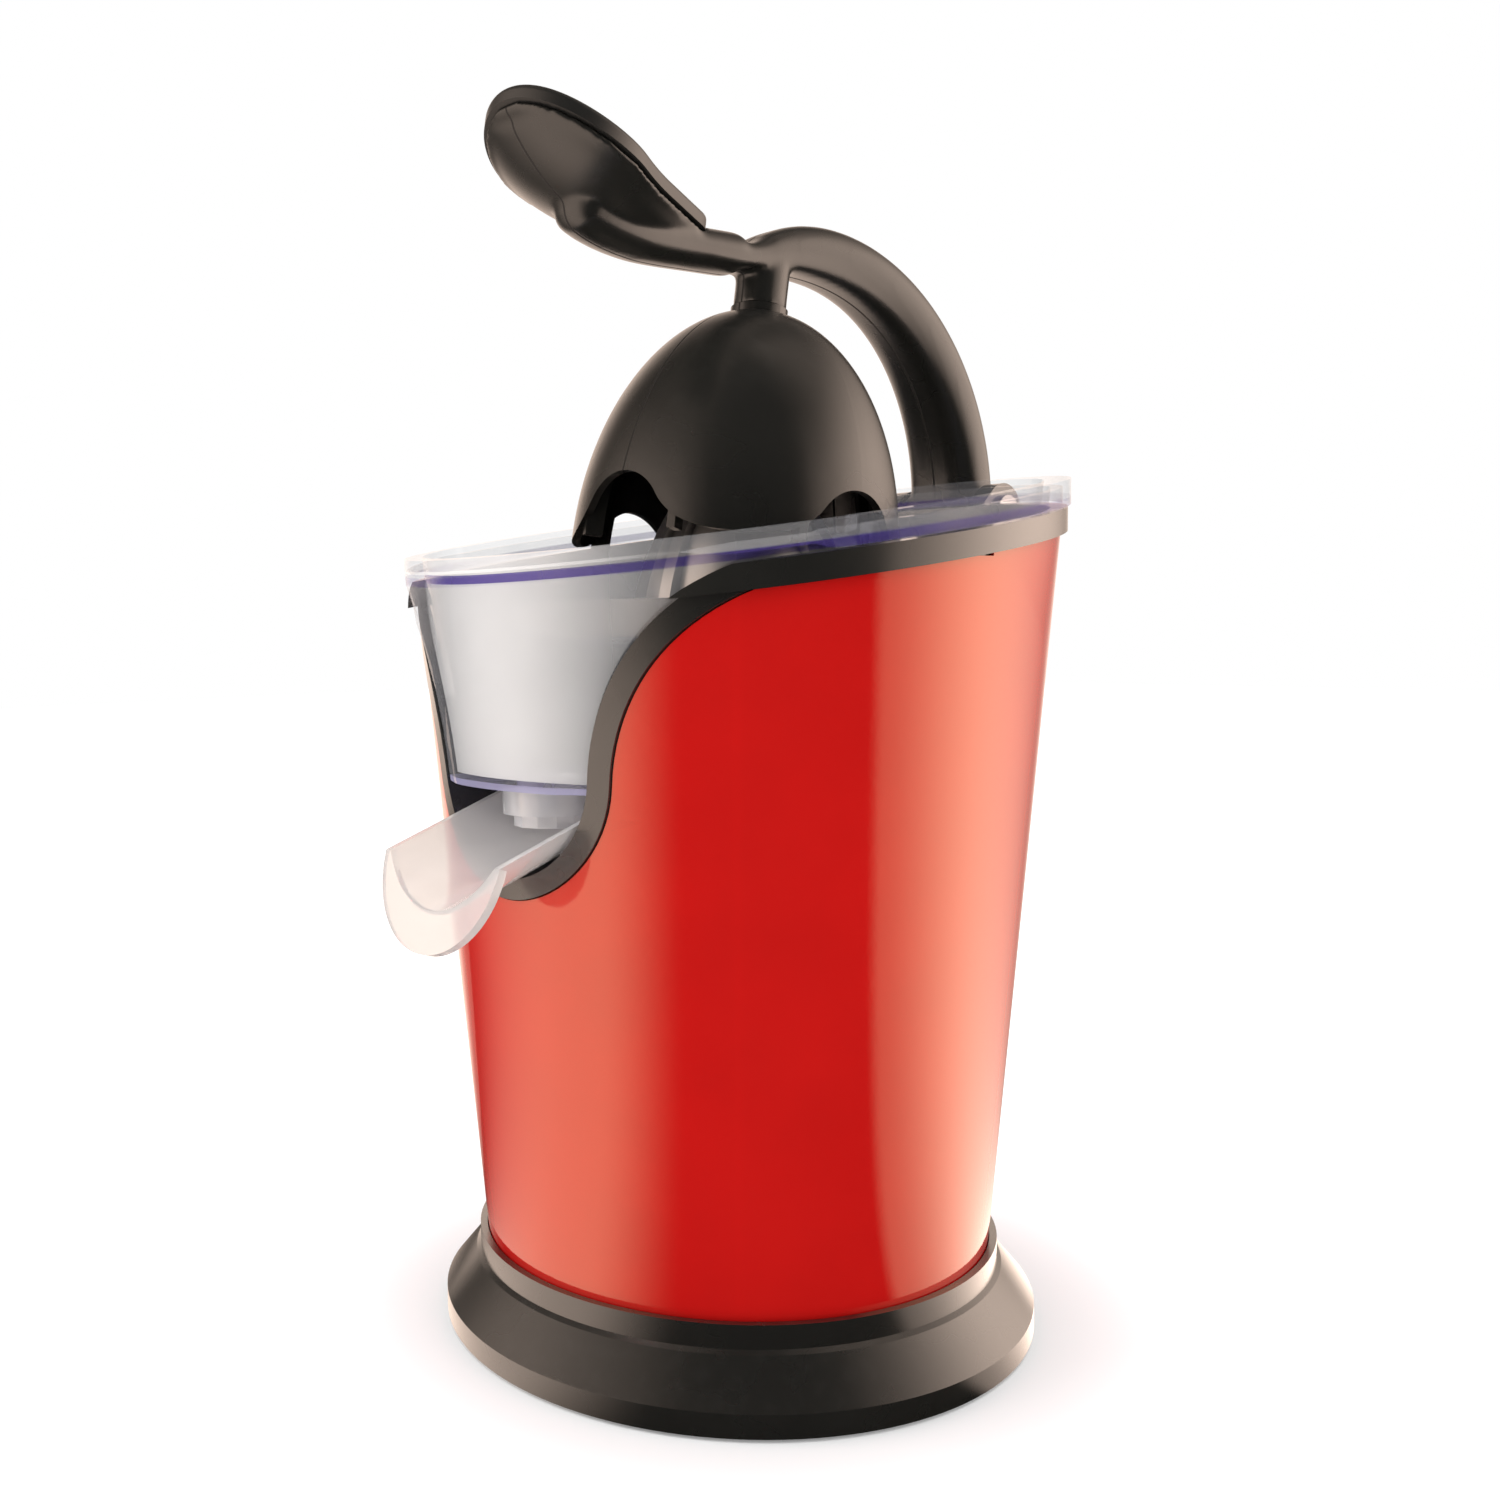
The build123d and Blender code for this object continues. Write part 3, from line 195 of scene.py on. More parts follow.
HIDDEN_BLACK_NODES = ("bottom_cover", "hinge_washers", "start_switch", "switch_plunger")
TURNED_NODES = (
    "bottom_screws",
    "tie_rods",
    "hinge_pin",
    "drive_spindle",
    "idler_axle",
    "chassis_screws",
    "rotor",
    "motor_bolts",
    "dome_screw",
)
RUBBER_NODES = ("rubber_feet", "cord_bush", "spindle_seal")
GEAR_NODES = ("output_gear", "idler_gear", "motor_pinion", "cooling_fan")
CHASSIS_NODES = ("gear_plate", "motor_mount", "motor_bracket")
BRONZE_NODES = ("motor_bearings", "spindle_bush")


def colour_prop(name, description, default):
    """A colour that the user may change."""
    return FloatVectorProperty(
        name=name, description=description, default=default, subtype="COLOR", size=3, min=0, max=1
    )


def length_prop(name, description, default):
    """A length in metres that the user may change."""
    return FloatProperty(
        name=name, description=description, default=default, unit="LENGTH", precision=4
    )


def angle_prop(name, description, degrees):
    """An angle that the user may change."""
    return FloatProperty(
        name=name, description=description, default=math.radians(degrees), subtype="ANGLE"
    )


def share_prop(name, description, default):
    """A share that the user may change."""
    return FloatProperty(name=name, description=description, default=default, subtype="FACTOR")


def level_prop(name, description, default):
    """A plain number that the user may change."""
    return FloatProperty(name=name, description=description, default=default)


class JuicerCamera(bpy.types.PropertyGroup):
    """Where the camera stands and how it looks at the juicer."""

    distance: length_prop("Distance", "From the juicer's axis to the camera", 0.46918)
    height: length_prop("Height", "Height of the camera above the worktop", 0.20634)
    azimuth: angle_prop("Azimuth", "Round the juicer from the spout side", 44.0)
    pan: angle_prop("Pan", "Turn of the camera away from the axis", 7.109)
    pitch: angle_prop("Pitch", "Downward tilt of the camera", 4.542)
    roll: angle_prop("Roll", "Turn of the picture", -0.984)
    lens: level_prop("Lens", "Focal length in millimetres", 37.42)
    shift: level_prop("Shift", "Sideways lens shift", 0.1425)


class JuicerLight(bpy.types.PropertyGroup):
    """Levels of the studio light."""

    room: level_prop("Room", "Level of the even light from all round", 0.84)
    key: level_prop("Key", "Power of the soft light at the left", 7.0)
    fill: level_prop("Fill", "Power of the soft light at the right", 2.0)
    top: level_prop("Top", "Power of the soft light overhead", 6.0)
    floor: level_prop("Floor", "Own brightness of the white floor", 0.5)


class JuicerFinish(bpy.types.PropertyGroup):
    """Colours and surface values of the finishes."""

    red: colour_prop("Shell red", "Enamel of the shell", (0.63, 0.0090, 0.0080))
    black: colour_prop("Black", "Moulded housing, lever and base", (0.0132, 0.0123, 0.0102))
    palm: colour_prop("Palm rest", "Pad under the palm", (0.0150, 0.0140, 0.0122))
    clear: colour_prop("Clear", "Clear moulded plastic", (0.55, 0.54, 0.57))
    milk: colour_prop("Milky", "Front wall of the collector", (0.92, 0.89, 0.87))
    lip: colour_prop("Spout", "Milky plastic of the spout", (0.84, 0.81, 0.79))
    # Partly the plastic's own tint and partly painted refracted light, at the thick edges
    tint: colour_prop("Tint", "What thick clear plastic turns to", (0.10, 0.07, 0.30))
    steel: colour_prop("Steel", "Reamer and strainer", (0.50, 0.50, 0.50))
    turned: colour_prop("Turned steel", "Pins, screws and shafts", (0.62, 0.62, 0.62))
    rubber: colour_prop("Rubber", "Feet and seals", (0.022, 0.022, 0.022))
    gear: colour_prop("Gear plastic", "Gears and fan", (0.78, 0.76, 0.70))
    chassis: colour_prop("Chassis", "Motor mount and gear plate", (0.14, 0.14, 0.145))
    lamination: colour_prop("Laminations", "Motor iron", (0.20, 0.20, 0.21))
    winding: colour_prop("Windings", "Varnished copper wire", (0.42, 0.13, 0.045))
    bronze: colour_prop("Bronze", "Sintered bushes", (0.46, 0.30, 0.11))
    gloss: share_prop("Gloss", "Roughness of the enamel", 0.07)
    satin: share_prop("Satin", "Roughness of black mouldings", 0.27)
    dust: share_prop("Dust", "Dust on upward faces", 0.03)


class Nodes:
    """A node tree with short calls for adding and joining nodes."""

    def __init__(self, tree):
        self.tree = tree

    def add(self, kind, **values):
        """Adds a node; a value names an attribute, and in_0 or in_Name an input."""
        node = self.tree.nodes.new(kind)
        for key, value in values.items():
            if not key.startswith("in_"):
                setattr(node, key, value)
                continue
            name = key[3:]
            socket = node.inputs[int(name) if name.isdigit() else name.replace("_", " ")]
            if isinstance(value, bpy.types.NodeSocket):
                self.tree.links.new(value, socket)
            else:
                socket.default_value = value
        return node

    def math(self, operation, *values, clamp=False):
        """A Math node's result."""
        node = self.add("ShaderNodeMath", operation=operation, use_clamp=clamp)
        for i, value in enumerate(values):
            if isinstance(value, bpy.types.NodeSocket):
                self.tree.links.new(value, node.inputs[i])
            else:
                node.inputs[i].default_value = value
        return node.outputs[0]

    def ramp(self, value, low, high, to_low, to_high):
        """A smooth step of value from low..high to to_low..to_high."""
        node = self.add("ShaderNodeMapRange", interpolation_type="SMOOTHSTEP", clamp=True)
        self.tree.links.new(value, node.inputs["Value"])
        names = ("From Min", "From Max", "To Min", "To Max")
        for name, number in zip(names, (low, high, to_low, to_high)):
            node.inputs[name].default_value = number
        return node.outputs["Result"]

    def mix(self, share, first, second):
        """A mix of two colours."""
        node = self.add("ShaderNodeMix", data_type="RGBA")
        sockets = (node.inputs[0], node.inputs[6], node.inputs[7])
        for socket, value in zip(sockets, (share, first, second)):
            if isinstance(value, bpy.types.NodeSocket):
                self.tree.links.new(value, socket)
            else:
                socket.default_value = value if isinstance(value, float) else (*value, 1.0)
        return node.outputs[2]

    def noise(self, vector, scale, detail=2.0):
        """Noise over the piece, from 0 to 1."""
        node = self.add("ShaderNodeTexNoise", in_Scale=scale, in_Detail=detail)
        self.tree.links.new(vector, node.inputs["Vector"])
        return node.outputs["Fac"]

    def place(self):
        """Object coordinates."""
        return self.add("ShaderNodeTexCoord").outputs["Object"]

    def link(self, output, socket):
        """Joins an output to an input."""
        self.tree.links.new(output, socket)


def new_group(group_name, inputs, outputs):
    """An empty shader node group with named value sockets, and its inner ends."""
    group = bpy.data.node_groups.new(group_name, "ShaderNodeTree")
    sockets = group.interface
    for name, value in inputs.items():
        entry = sockets.new_socket(name, in_out="INPUT", socket_type="NodeSocketFloat")
        entry.default_value = value
    for name in outputs:
        sockets.new_socket(name, in_out="OUTPUT", socket_type="NodeSocketFloat")
    n = Nodes(group)
    return n, n.add("NodeGroupInput").outputs, n.add("NodeGroupOutput").inputs


def moulded_grain():
    """Fine skin of a moulding: a height and a change of roughness."""
    inputs = {"Scale": 1500.0, "Spread": 0.06}
    n, given, out = new_group("moulded_grain", inputs, ("Height", "Roughness"))
    place = n.place()
    fine = n.add("ShaderNodeTexNoise", in_Detail=3.0)
    n.link(place, fine.inputs["Vector"])
    n.link(given["Scale"], fine.inputs["Scale"])
    broad = n.noise(place, 35.0, 3.0)
    n.link(fine.outputs["Fac"], out["Height"])
    n.link(n.math("MULTIPLY", n.math("SUBTRACT", broad, 0.5), given["Spread"]), out["Roughness"])


def settled_dust():
    """Light dust on faces that look upwards."""
    n, given, out = new_group("settled_dust", {"Amount": 0.05}, ("Mask",))
    facing = n.add("ShaderNodeSeparateXYZ", in_0=n.add("ShaderNodeNewGeometry").outputs["Normal"])
    upward = n.ramp(facing.outputs["Z"], 0.3, 1.0, 0.0, 1.0)
    speck = n.ramp(n.noise(n.place(), 240.0, 5.0), 0.45, 0.75, 0.25, 1.0)
    n.link(n.math("MULTIPLY", n.math("MULTIPLY", upward, speck), given["Amount"]), out["Mask"])


def mould_seam():
    """The line where two halves of a mould met, in the plane that halves the juicer."""
    n, given, out = new_group("mould_seam", {"Width": SEAM_WIDTH}, ("Mask",))
    across = n.add("ShaderNodeSeparateXYZ", in_0=n.place()).outputs["X"]
    share = n.math("DIVIDE", n.math("ABSOLUTE", across), given["Width"])
    n.link(n.ramp(share, 0.3, 1.0, 1.0, 0.0), out["Mask"])


def brushed_lines():
    """Fine lines left by turning or brushing round the upright axis."""
    n, given, out = new_group("brushed_lines", {"Scale": 900.0}, ("Height", "Roughness"))
    parts = n.add("ShaderNodeSeparateXYZ", in_0=n.place())
    squares = [n.math("POWER", parts.outputs[axis], 2.0) for axis in ("X", "Y")]
    radius = n.math("SQRT", n.math("ADD", *squares))
    line = n.add("ShaderNodeCombineXYZ", in_0=radius, in_2=parts.outputs["Z"])
    fine = n.add("ShaderNodeTexNoise", in_Detail=4.0)
    n.link(line.outputs[0], fine.inputs["Vector"])
    n.link(given["Scale"], fine.inputs["Scale"])
    n.link(fine.outputs["Fac"], out["Height"])
    change = n.math("SUBTRACT", fine.outputs["Fac"], 0.5)
    n.link(n.math("MULTIPLY", change, 0.08), out["Roughness"])


def use_group(n, name, **values):
    """Places a shared effect in a material."""
    node = n.add("ShaderNodeGroup", node_tree=bpy.data.node_groups[name])
    for key, value in values.items():
        node.inputs[key].default_value = value
    return node.outputs


def empty_material(name):
    """A material with no nodes yet."""
    material = bpy.data.materials.new(name)
    material.use_nodes = True
    material.node_tree.nodes.clear()
    return material, Nodes(material.node_tree)


def start_material(name, roughness, **values):
    """A material with one Principled shader on its output."""
    material, n = empty_material(name)
    shader = n.add("ShaderNodeBsdfPrincipled", in_Roughness=roughness, **values)
    output = n.add("ShaderNodeOutputMaterial", in_Surface=shader.outputs[0])
    return material, n, shader, output


def mottled(n, colour, scale, detail, dark, light=1.0):
    """A colour that varies over the piece between a dark and a light share of it."""
    shade = n.ramp(n.noise(n.place(), scale, detail), *MOTTLE, 0.0, 1.0)
    return n.mix(shade, tuple(dark * c for c in colour), tuple(light * c for c in colour))


def roughen(n, shader, base, change):
    """Roughness that varies a little about its base value."""
    n.link(n.math("ADD", change, base, clamp=True), shader.inputs["Roughness"])


def bump(n, shader, height, strength, depth):
    """Surface relief of a given depth."""
    node = n.add("ShaderNodeBump", in_Strength=strength, in_Distance=depth, in_Height=height)
    n.link(node.outputs[0], shader.inputs["Normal"])


def dress(names, material):
    """Gives CAD nodes a material."""
    for name in names:
        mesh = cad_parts[name].data
        mesh.materials.clear()
        mesh.materials.append(material)


def copy_node(name, piece_name, materials):
    """A copy of a CAD node with its loose triangles joined, selected and active."""
    bpy.ops.object.select_all(action="DESELECT")
    piece = bpy.data.objects.new(piece_name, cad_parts[name].data.copy())
    bpy.context.scene.collection.objects.link(piece)
    piece.select_set(True)
    bpy.context.view_layer.objects.active = piece
    piece.data.materials.clear()
    for material in materials:
        piece.data.materials.append(material)
    bpy.ops.object.mode_set(mode="EDIT")
    bpy.ops.mesh.select_all(action="SELECT")
    bpy.ops.mesh.remove_doubles(threshold=1e-6)
    bpy.ops.mesh.select_all(action="DESELECT")
    bpy.ops.object.mode_set(mode="OBJECT")
    return piece


def turned_normals(piece):
    """Smooth shading for walls turned about the upright axis; other faces stay flat."""
    bpy.ops.object.shade_smooth()
    mesh = piece.data
    normals = [None] * len(mesh.loops)
    for face in mesh.polygons:
        out = Vector((face.center.x, face.center.y, 0.0)).normalized()
        along, up = face.normal.dot(out), face.normal.z
        turned = abs(along) > TURNED_FACING and along * along + up * up > TURNED_TRUE
        for i in face.loop_indices:
            spot = mesh.vertices[mesh.loops[i].vertex_index].co
            wall = Vector((spot.x, spot.y, 0.0)).normalized() * along
            wall += Vector((0.0, 0.0, up))
            normals[i] = wall.normalized() if turned else face.normal.copy()
    mesh.normals_split_custom_set(normals)


def node_tree(name):
    """A CAD node's surface, for finding what lies near it."""
    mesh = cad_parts[name].data
    faces = [tuple(face.vertices) for face in mesh.polygons]
    return BVHTree.FromPolygons([v.co for v in mesh.vertices], faces)


def enamel(finish):
    """Gloss red enamel with a faint ripple and a warm mirror."""
    material, n, shader, _ = start_material("red_enamel", finish.gloss)
    paint = mottled(n, finish.red, scale=30.0, detail=3.0, dark=0.94)
    dust = use_group(n, "settled_dust", Amount=finish.dust)
    n.link(n.mix(dust["Mask"], paint, DUST_ON_RED), shader.inputs["Base Color"])
    grain = use_group(n, "moulded_grain", Scale=420.0, Spread=0.02)
    roughen(n, shader, finish.gloss, grain["Roughness"])
    bump(n, shader, grain["Height"], strength=0.06, depth=0.0002)
    shader.inputs["IOR"].default_value = ENAMEL_IOR
    shader.inputs["Specular Tint"].default_value = ENAMEL_MIRROR
    return material


def moulding(name, colour, roughness, dust_amount, seam=False, grain_scale=1300.0, coat=0.0):
    """Satin plastic with a fine skin, dust on its top faces, and a mould seam where it has one."""
    material, n, shader, _ = start_material(name, roughness, in_Specular_IOR_Level=0.75)
    skin = mottled(n, colour, scale=45.0, detail=4.0, dark=0.88, light=1.08)
    dust = use_group(n, "settled_dust", Amount=dust_amount)
    skin = n.mix(dust["Mask"], skin, DUST_ON_PLASTIC)
    grain = use_group(n, "moulded_grain", Scale=grain_scale, Spread=0.10)
    height, change = grain["Height"], grain["Roughness"]
    if seam:
        line = use_group(n, "mould_seam", Width=SEAM_WIDTH)["Mask"]
        skin = n.mix(n.math("MULTIPLY", line, 0.8), skin, SEAM_COLOUR)
        height = n.math("SUBTRACT", height, n.math("MULTIPLY", line, 2.0))
        change = n.math("ADD", change, n.math("MULTIPLY", line, 0.5))
    n.link(skin, shader.inputs["Base Color"])
    roughen(n, shader, roughness, change)
    bump(n, shader, height, strength=0.05, depth=0.0002)
    shader.inputs["Coat Weight"].default_value = coat
    shader.inputs["Coat Roughness"].default_value = COAT_ROUGHNESS
    shader.inputs["Coat IOR"].default_value = COAT_IOR
    return material


def thick_edges():
    """Where clear plastic is seen through its thick edges: under the rim and along the floor.

    Their violet is partly the plastic's own tint and partly painted refracted light.
    """
    heights = {"Rim low": 0.2, "Rim high": 0.3, "Floor high": 0.1}
    n, given, out = new_group("thick_edges", heights, ("Rim", "Floor"))
    parts = n.add("ShaderNodeSeparateXYZ", in_0=n.place())
    slope = n.math("MULTIPLY", parts.outputs["Y"], math.tan(math.radians(RIM_SLANT)))
    height = n.math("SUBTRACT", parts.outputs["Z"], slope)
    above = n.math("GREATER_THAN", height, given["Rim low"])
    below = n.math("LESS_THAN", height, given["Rim high"])
    n.link(n.math("MULTIPLY", above, below), out["Rim"])
    n.link(n.math("LESS_THAN", parts.outputs["Z"], given["Floor high"]), out["Floor"])


def milky_front():
    """Milky at the front, over the spout, and clear towards the sides.

    The clearing is painted shade: the dark inside shows through and darkens the sides.
    """
    n, given, out = new_group("milky_front", {"Full": 0.0, "None": 38.0}, ("Mask",))
    parts = n.add("ShaderNodeSeparateXYZ", in_0=n.place())
    across = n.math("ABSOLUTE", parts.outputs["X"])
    forward = n.math("MULTIPLY", parts.outputs["Y"], -1.0)
    turn = n.math("DEGREES", n.math("ARCTAN2", across, forward))
    span = n.math("SUBTRACT", given["None"], given["Full"])
    share = n.math("DIVIDE", n.math("SUBTRACT", turn, given["Full"]), span)
    n.link(n.ramp(share, 0.0, 1.0, 1.0, 0.0), out["Mask"])


def clear_moulding(name, colour, share, roughness):
    """Clear plastic that bends the light, for the thick spout and nozzle."""
    material, n, shader, output = start_material(name, roughness)
    shader.inputs["Transmission Weight"].default_value = share
    shader.inputs["IOR"].default_value = CLEAR_IOR
    paint = mottled(n, colour, scale=60.0, detail=4.0, dark=0.97)
    n.link(paint, shader.inputs["Base Color"])
    cloud = n.noise(n.place(), 60.0, 4.0)
    haze = n.ramp(cloud, 0.35, 0.75, 0.9 * roughness, 1.1 * roughness)
    n.link(haze, shader.inputs["Roughness"])
    path = n.add("ShaderNodeLightPath")
    through = n.add("ShaderNodeBsdfTransparent", in_Color=CLEAR_SHADOW)
    pane = n.add("ShaderNodeMixShader", in_0=path.outputs["Is Shadow Ray"])
    n.link(shader.outputs[0], pane.inputs[1])
    n.link(through.outputs[0], pane.inputs[2])
    n.link(pane.outputs[0], output.inputs["Surface"])
    inside = n.add("ShaderNodeVolumeAbsorption", in_Color=CLEAR_INSIDE, in_Density=1.0)
    n.link(inside.outputs[0], output.inputs["Volume"])
    return material


def thin_wall(name, colour, cover, tint, edges, front):
    """Thin clear wall that covers more at a grazing view, with tinted edges and a milky front.

    The edges' violet is partly the plastic's own tint and partly painted refracted light; the
    front's clearing towards the sides is painted shade.
    """
    material, n, shader, _ = start_material(name, THIN_ROUGHNESS)
    skin = mottled(n, colour, scale=60.0, detail=4.0, dark=0.96)
    thick = use_group(n, "thick_edges", **edges)
    # Painted refracted light with the plastic's own tint: violet under the rim, lighter along the
    # floor
    skin = n.mix(thick["Rim"], skin, tuple(tint))
    skin = n.mix(thick["Floor"], skin, tuple(0.35 + 0.9 * c for c in tint))
    n.link(skin, shader.inputs["Base Color"])
    grain = use_group(n, "moulded_grain", Scale=300.0, Spread=0.05)
    roughen(n, shader, THIN_ROUGHNESS, grain["Roughness"])
    facing = n.add("ShaderNodeLayerWeight", in_Blend=0.5).outputs["Facing"]
    rim = n.math("MULTIPLY", thick["Rim"], RIM_COVER)
    edge = n.math("ADD", rim, n.math("MULTIPLY", thick["Floor"], FLOOR_COVER))
    veil = n.math("ADD", n.ramp(facing, 0.45, 1.0, cover, cover + GRAZING_COVER), edge)
    # Painted shade: the milky cover fades towards the sides, which darkens them
    milk = n.math("MULTIPLY", use_group(n, "milky_front")["Mask"], front)
    n.link(n.math("ADD", veil, milk, clamp=True), shader.inputs["Alpha"])
    return material


def metal(name, colour, roughness, lines):
    """Bare metal with fine turned or brushed lines."""
    material, n, shader, _ = start_material(name, roughness, in_Metallic=1.0)
    skin = mottled(n, colour, scale=70.0, detail=4.0, dark=0.9)
    n.link(skin, shader.inputs["Base Color"])
    brushed = use_group(n, "brushed_lines", Scale=lines)
    roughen(n, shader, roughness, brushed["Roughness"])
    bump(n, shader, brushed["Height"], strength=0.04, depth=0.0001)
    return material


def wall_step(n, turn, start, end, low, high):
    """A smooth step between two directions, given in degrees."""
    return n.ramp(turn, math.radians(start), math.radians(end), low, high)


def studio_level(n, vector, spread):
    """How bright the room mirrors in a direction: white walls at the left, at the right and behind.

    The floor is nearer than the walls, so their light is spread wider there.
    """
    parts = n.add("ShaderNodeSeparateXYZ", in_0=vector)
    turn = n.math("ARCTAN2", parts.outputs["X"], n.math("MULTIPLY", parts.outputs["Y"], -1.0))
    middle = math.radians(ROOM_MIDDLE)
    turn = n.math("WRAP", n.math("SUBTRACT", turn, middle), math.pi, -math.pi)
    ahead = n.math("SUBTRACT", 1.0, n.math("POWER", n.math("DIVIDE", turn, math.pi), 2.0))
    wider = n.math("MULTIPLY", n.math("SUBTRACT", spread, 1.0), ahead)
    turn = n.math("MULTIPLY", turn, n.math("ADD", wider, 1.0))
    turn = n.math("ADD", turn, middle)
    past_back = n.math("LESS_THAN", turn, math.radians(LEFT_WALL[0]))
    turn = n.math("ADD", turn, n.math("MULTIPLY", past_back, 2.0 * math.pi))
    rises = wall_step(n, turn, *LEFT_WALL[:2], LEFT_START, 1.0)
    falls = wall_step(n, turn, *LEFT_WALL[2:], LEFT_LEVEL, 0.0)
    left = n.math("MULTIPLY", rises, falls)
    edge = wall_step(n, turn, *RIGHT_WALL[:2], 0.0, RIGHT_EDGE)
    broad = wall_step(n, turn, RIGHT_WALL[0], RIGHT_WALL[2], 0.0, 1.0 - RIGHT_EDGE)
    ends = wall_step(n, turn, *RIGHT_WALL[2:], RIGHT_LEVEL, RIGHT_END)
    right = n.math("MULTIPLY", n.math("ADD", edge, broad), ends)
    opens = wall_step(n, turn, *BACK_WALL[:2], 0.0, BACK_LEVEL)
    closes = wall_step(n, turn, *BACK_WALL[2:], 1.0, 0.0)
    right = n.math("ADD", right, n.math("MULTIPLY", opens, closes))
    low = n.ramp(parts.outputs["Z"], *WALL_TOP, 1.0, CEILING_LEVEL)
    return n.math("MULTIPLY", n.math("ADD", left, right), low)


class JUICER_OT_stage(bpy.types.Operator):
    """Floor, room light, lamps and camera"""

    bl_idname = "juicer.stage"
    bl_label = "Set the stage"

    def execute(self, context):
        view = context.scene.juicer_camera
        light = context.scene.juicer_light
        context.scene.view_settings.view_transform = "Standard"
        self.lay_floor(light)
        self.fill_room(context, light)
        for name, (place, size) in LAMPS.items():
            self.hang_lamp(name + "_light", place, size, getattr(light, name))
        self.aim_camera(context, view)
        return {"FINISHED"}

    def lay_floor(self, light):
        """A white floor that keeps the juicer's shadow, with a painted shadow in a ring round the
        base.
        """
        bpy.ops.object.select_all(action="DESELECT")
        bpy.ops.mesh.primitive_plane_add(size=FLOOR_SIZE)
        floor = bpy.context.object
        floor.name = "floor"
        material, n = empty_material("white_floor")
        path = n.add("ShaderNodeLightPath")
        lit = n.add("ShaderNodeBsdfDiffuse", in_Color=FLOOR_COLOUR)
        away = n.add("ShaderNodeVectorMath", operation="LENGTH", in_0=n.place())
        # Painted shadow: the floor's own light drops to a share of it towards the base
        painted_shadow_level = PAINTED_SHADOW_SHARE * light.floor
        level = n.ramp(away.outputs["Value"], *PAINTED_SHADOW_RING, painted_shadow_level, light.floor)
        own = n.add("ShaderNodeEmission", in_Strength=level)
        seen = n.add("ShaderNodeAddShader", in_0=lit.outputs[0], in_1=own.outputs[0])
        walls = studio_level(n, n.place(), FLOOR_SPREAD)
        white = n.add("ShaderNodeEmission", in_Color=WALL_TINT, in_Strength=walls)
        mirrored = n.add("ShaderNodeMixShader", in_0=path.outputs["Is Glossy Ray"])
        bare = n.add("ShaderNodeMixShader", in_0=path.outputs["Is Diffuse Ray"])
        n.link(seen.outputs[0], mirrored.inputs[1])
        n.link(white.outputs[0], mirrored.inputs[2])
        n.link(mirrored.outputs[0], bare.inputs[1])
        n.link(lit.outputs[0], bare.inputs[2])
        n.add("ShaderNodeOutputMaterial", in_Surface=bare.outputs[0])
        floor.data.materials.append(material)

    def fill_room(self, context, light):
        """A white background, an even light from all round, and walls that only gloss mirrors."""
        world = bpy.data.worlds.new("studio")
        context.scene.world = world
        world.use_nodes = True
        world.node_tree.nodes.clear()
        n = Nodes(world.node_tree)
        path = n.add("ShaderNodeLightPath")
        clear = path.outputs["Is Transmission Ray"]
        shown = n.math("MAXIMUM", path.outputs["Is Camera Ray"], clear)
        mirror = path.outputs["Is Glossy Ray"]
        ahead = n.add("ShaderNodeTexCoord").outputs["Generated"]
        height = n.add("ShaderNodeSeparateXYZ", in_0=ahead).outputs["Z"]
        level = studio_level(n, ahead, n.ramp(height, *HORIZON, FLOOR_SPREAD, 1.0))
        glossy = n.math("MULTIPLY", level, mirror)
        even = n.math("MULTIPLY", n.math("SUBTRACT", 1.0, mirror), light.room)
        strength = n.math("MAXIMUM", shown, n.math("ADD", glossy, even))
        tint = n.mix(mirror, (1.0, 1.0, 1.0), WALL_TINT[:3])
        sky = n.add("ShaderNodeBackground", in_Color=tint, in_Strength=strength)
        n.add("ShaderNodeOutputWorld", in_Surface=sky.outputs[0])

    def hang_lamp(self, name, place, size, power):
        """A soft square lamp that looks at the middle of the juicer."""
        lamp = bpy.data.lights.new(name, "AREA")
        lamp.size = size
        lamp.energy = power
        holder = bpy.data.objects.new(name, lamp)
        holder.visible_glossy = False
        bpy.context.scene.collection.objects.link(holder)
        holder.location = place
        look = Vector(LAMP_TARGET) - Vector(place)
        holder.rotation_euler = look.to_track_quat("-Z", "Y").to_euler()

    def aim_camera(self, context, view):
        """The camera at the photograph's viewing angle."""
        turn = view.azimuth + view.pan
        ahead = Vector((-math.sin(turn), math.cos(turn), 0.0))
        right = Vector((ahead.y, -ahead.x, 0.0))
        look = ahead * math.cos(view.pitch) - Vector((0, 0, 1)) * math.sin(view.pitch)
        up = right.cross(look)
        side = right * math.cos(view.roll) + up * math.sin(view.roll)
        top = up * math.cos(view.roll) - right * math.sin(view.roll)
        data = bpy.data.cameras.new("camera")
        data.sensor_width = SENSOR_WIDTH
        data.lens = view.lens
        data.shift_x = view.shift
        data.clip_start = CLIP_START
        camera = bpy.data.objects.new("camera", data)
        context.scene.collection.objects.link(camera)
        place = Vector((math.sin(view.azimuth), -math.cos(view.azimuth), 0.0))
        place *= view.distance
        place.z = view.height
        turned = Matrix((side, top, -look)).transposed().to_4x4()
        camera.matrix_world = Matrix.Translation(place) @ turned
        context.scene.camera = camera


class JUICER_OT_shell(bpy.types.Operator):
    """Red enamel on the shell"""

    bl_idname = "juicer.shell"
    bl_label = "Enamel the shell"

    def execute(self, context):
        shell = copy_node("outer_shell", "shell_skin", (enamel(context.scene.juicer_finish),))
        turned_normals(shell)
        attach(shell, "base")
        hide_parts("outer_shell")
        return {"FINISHED"}


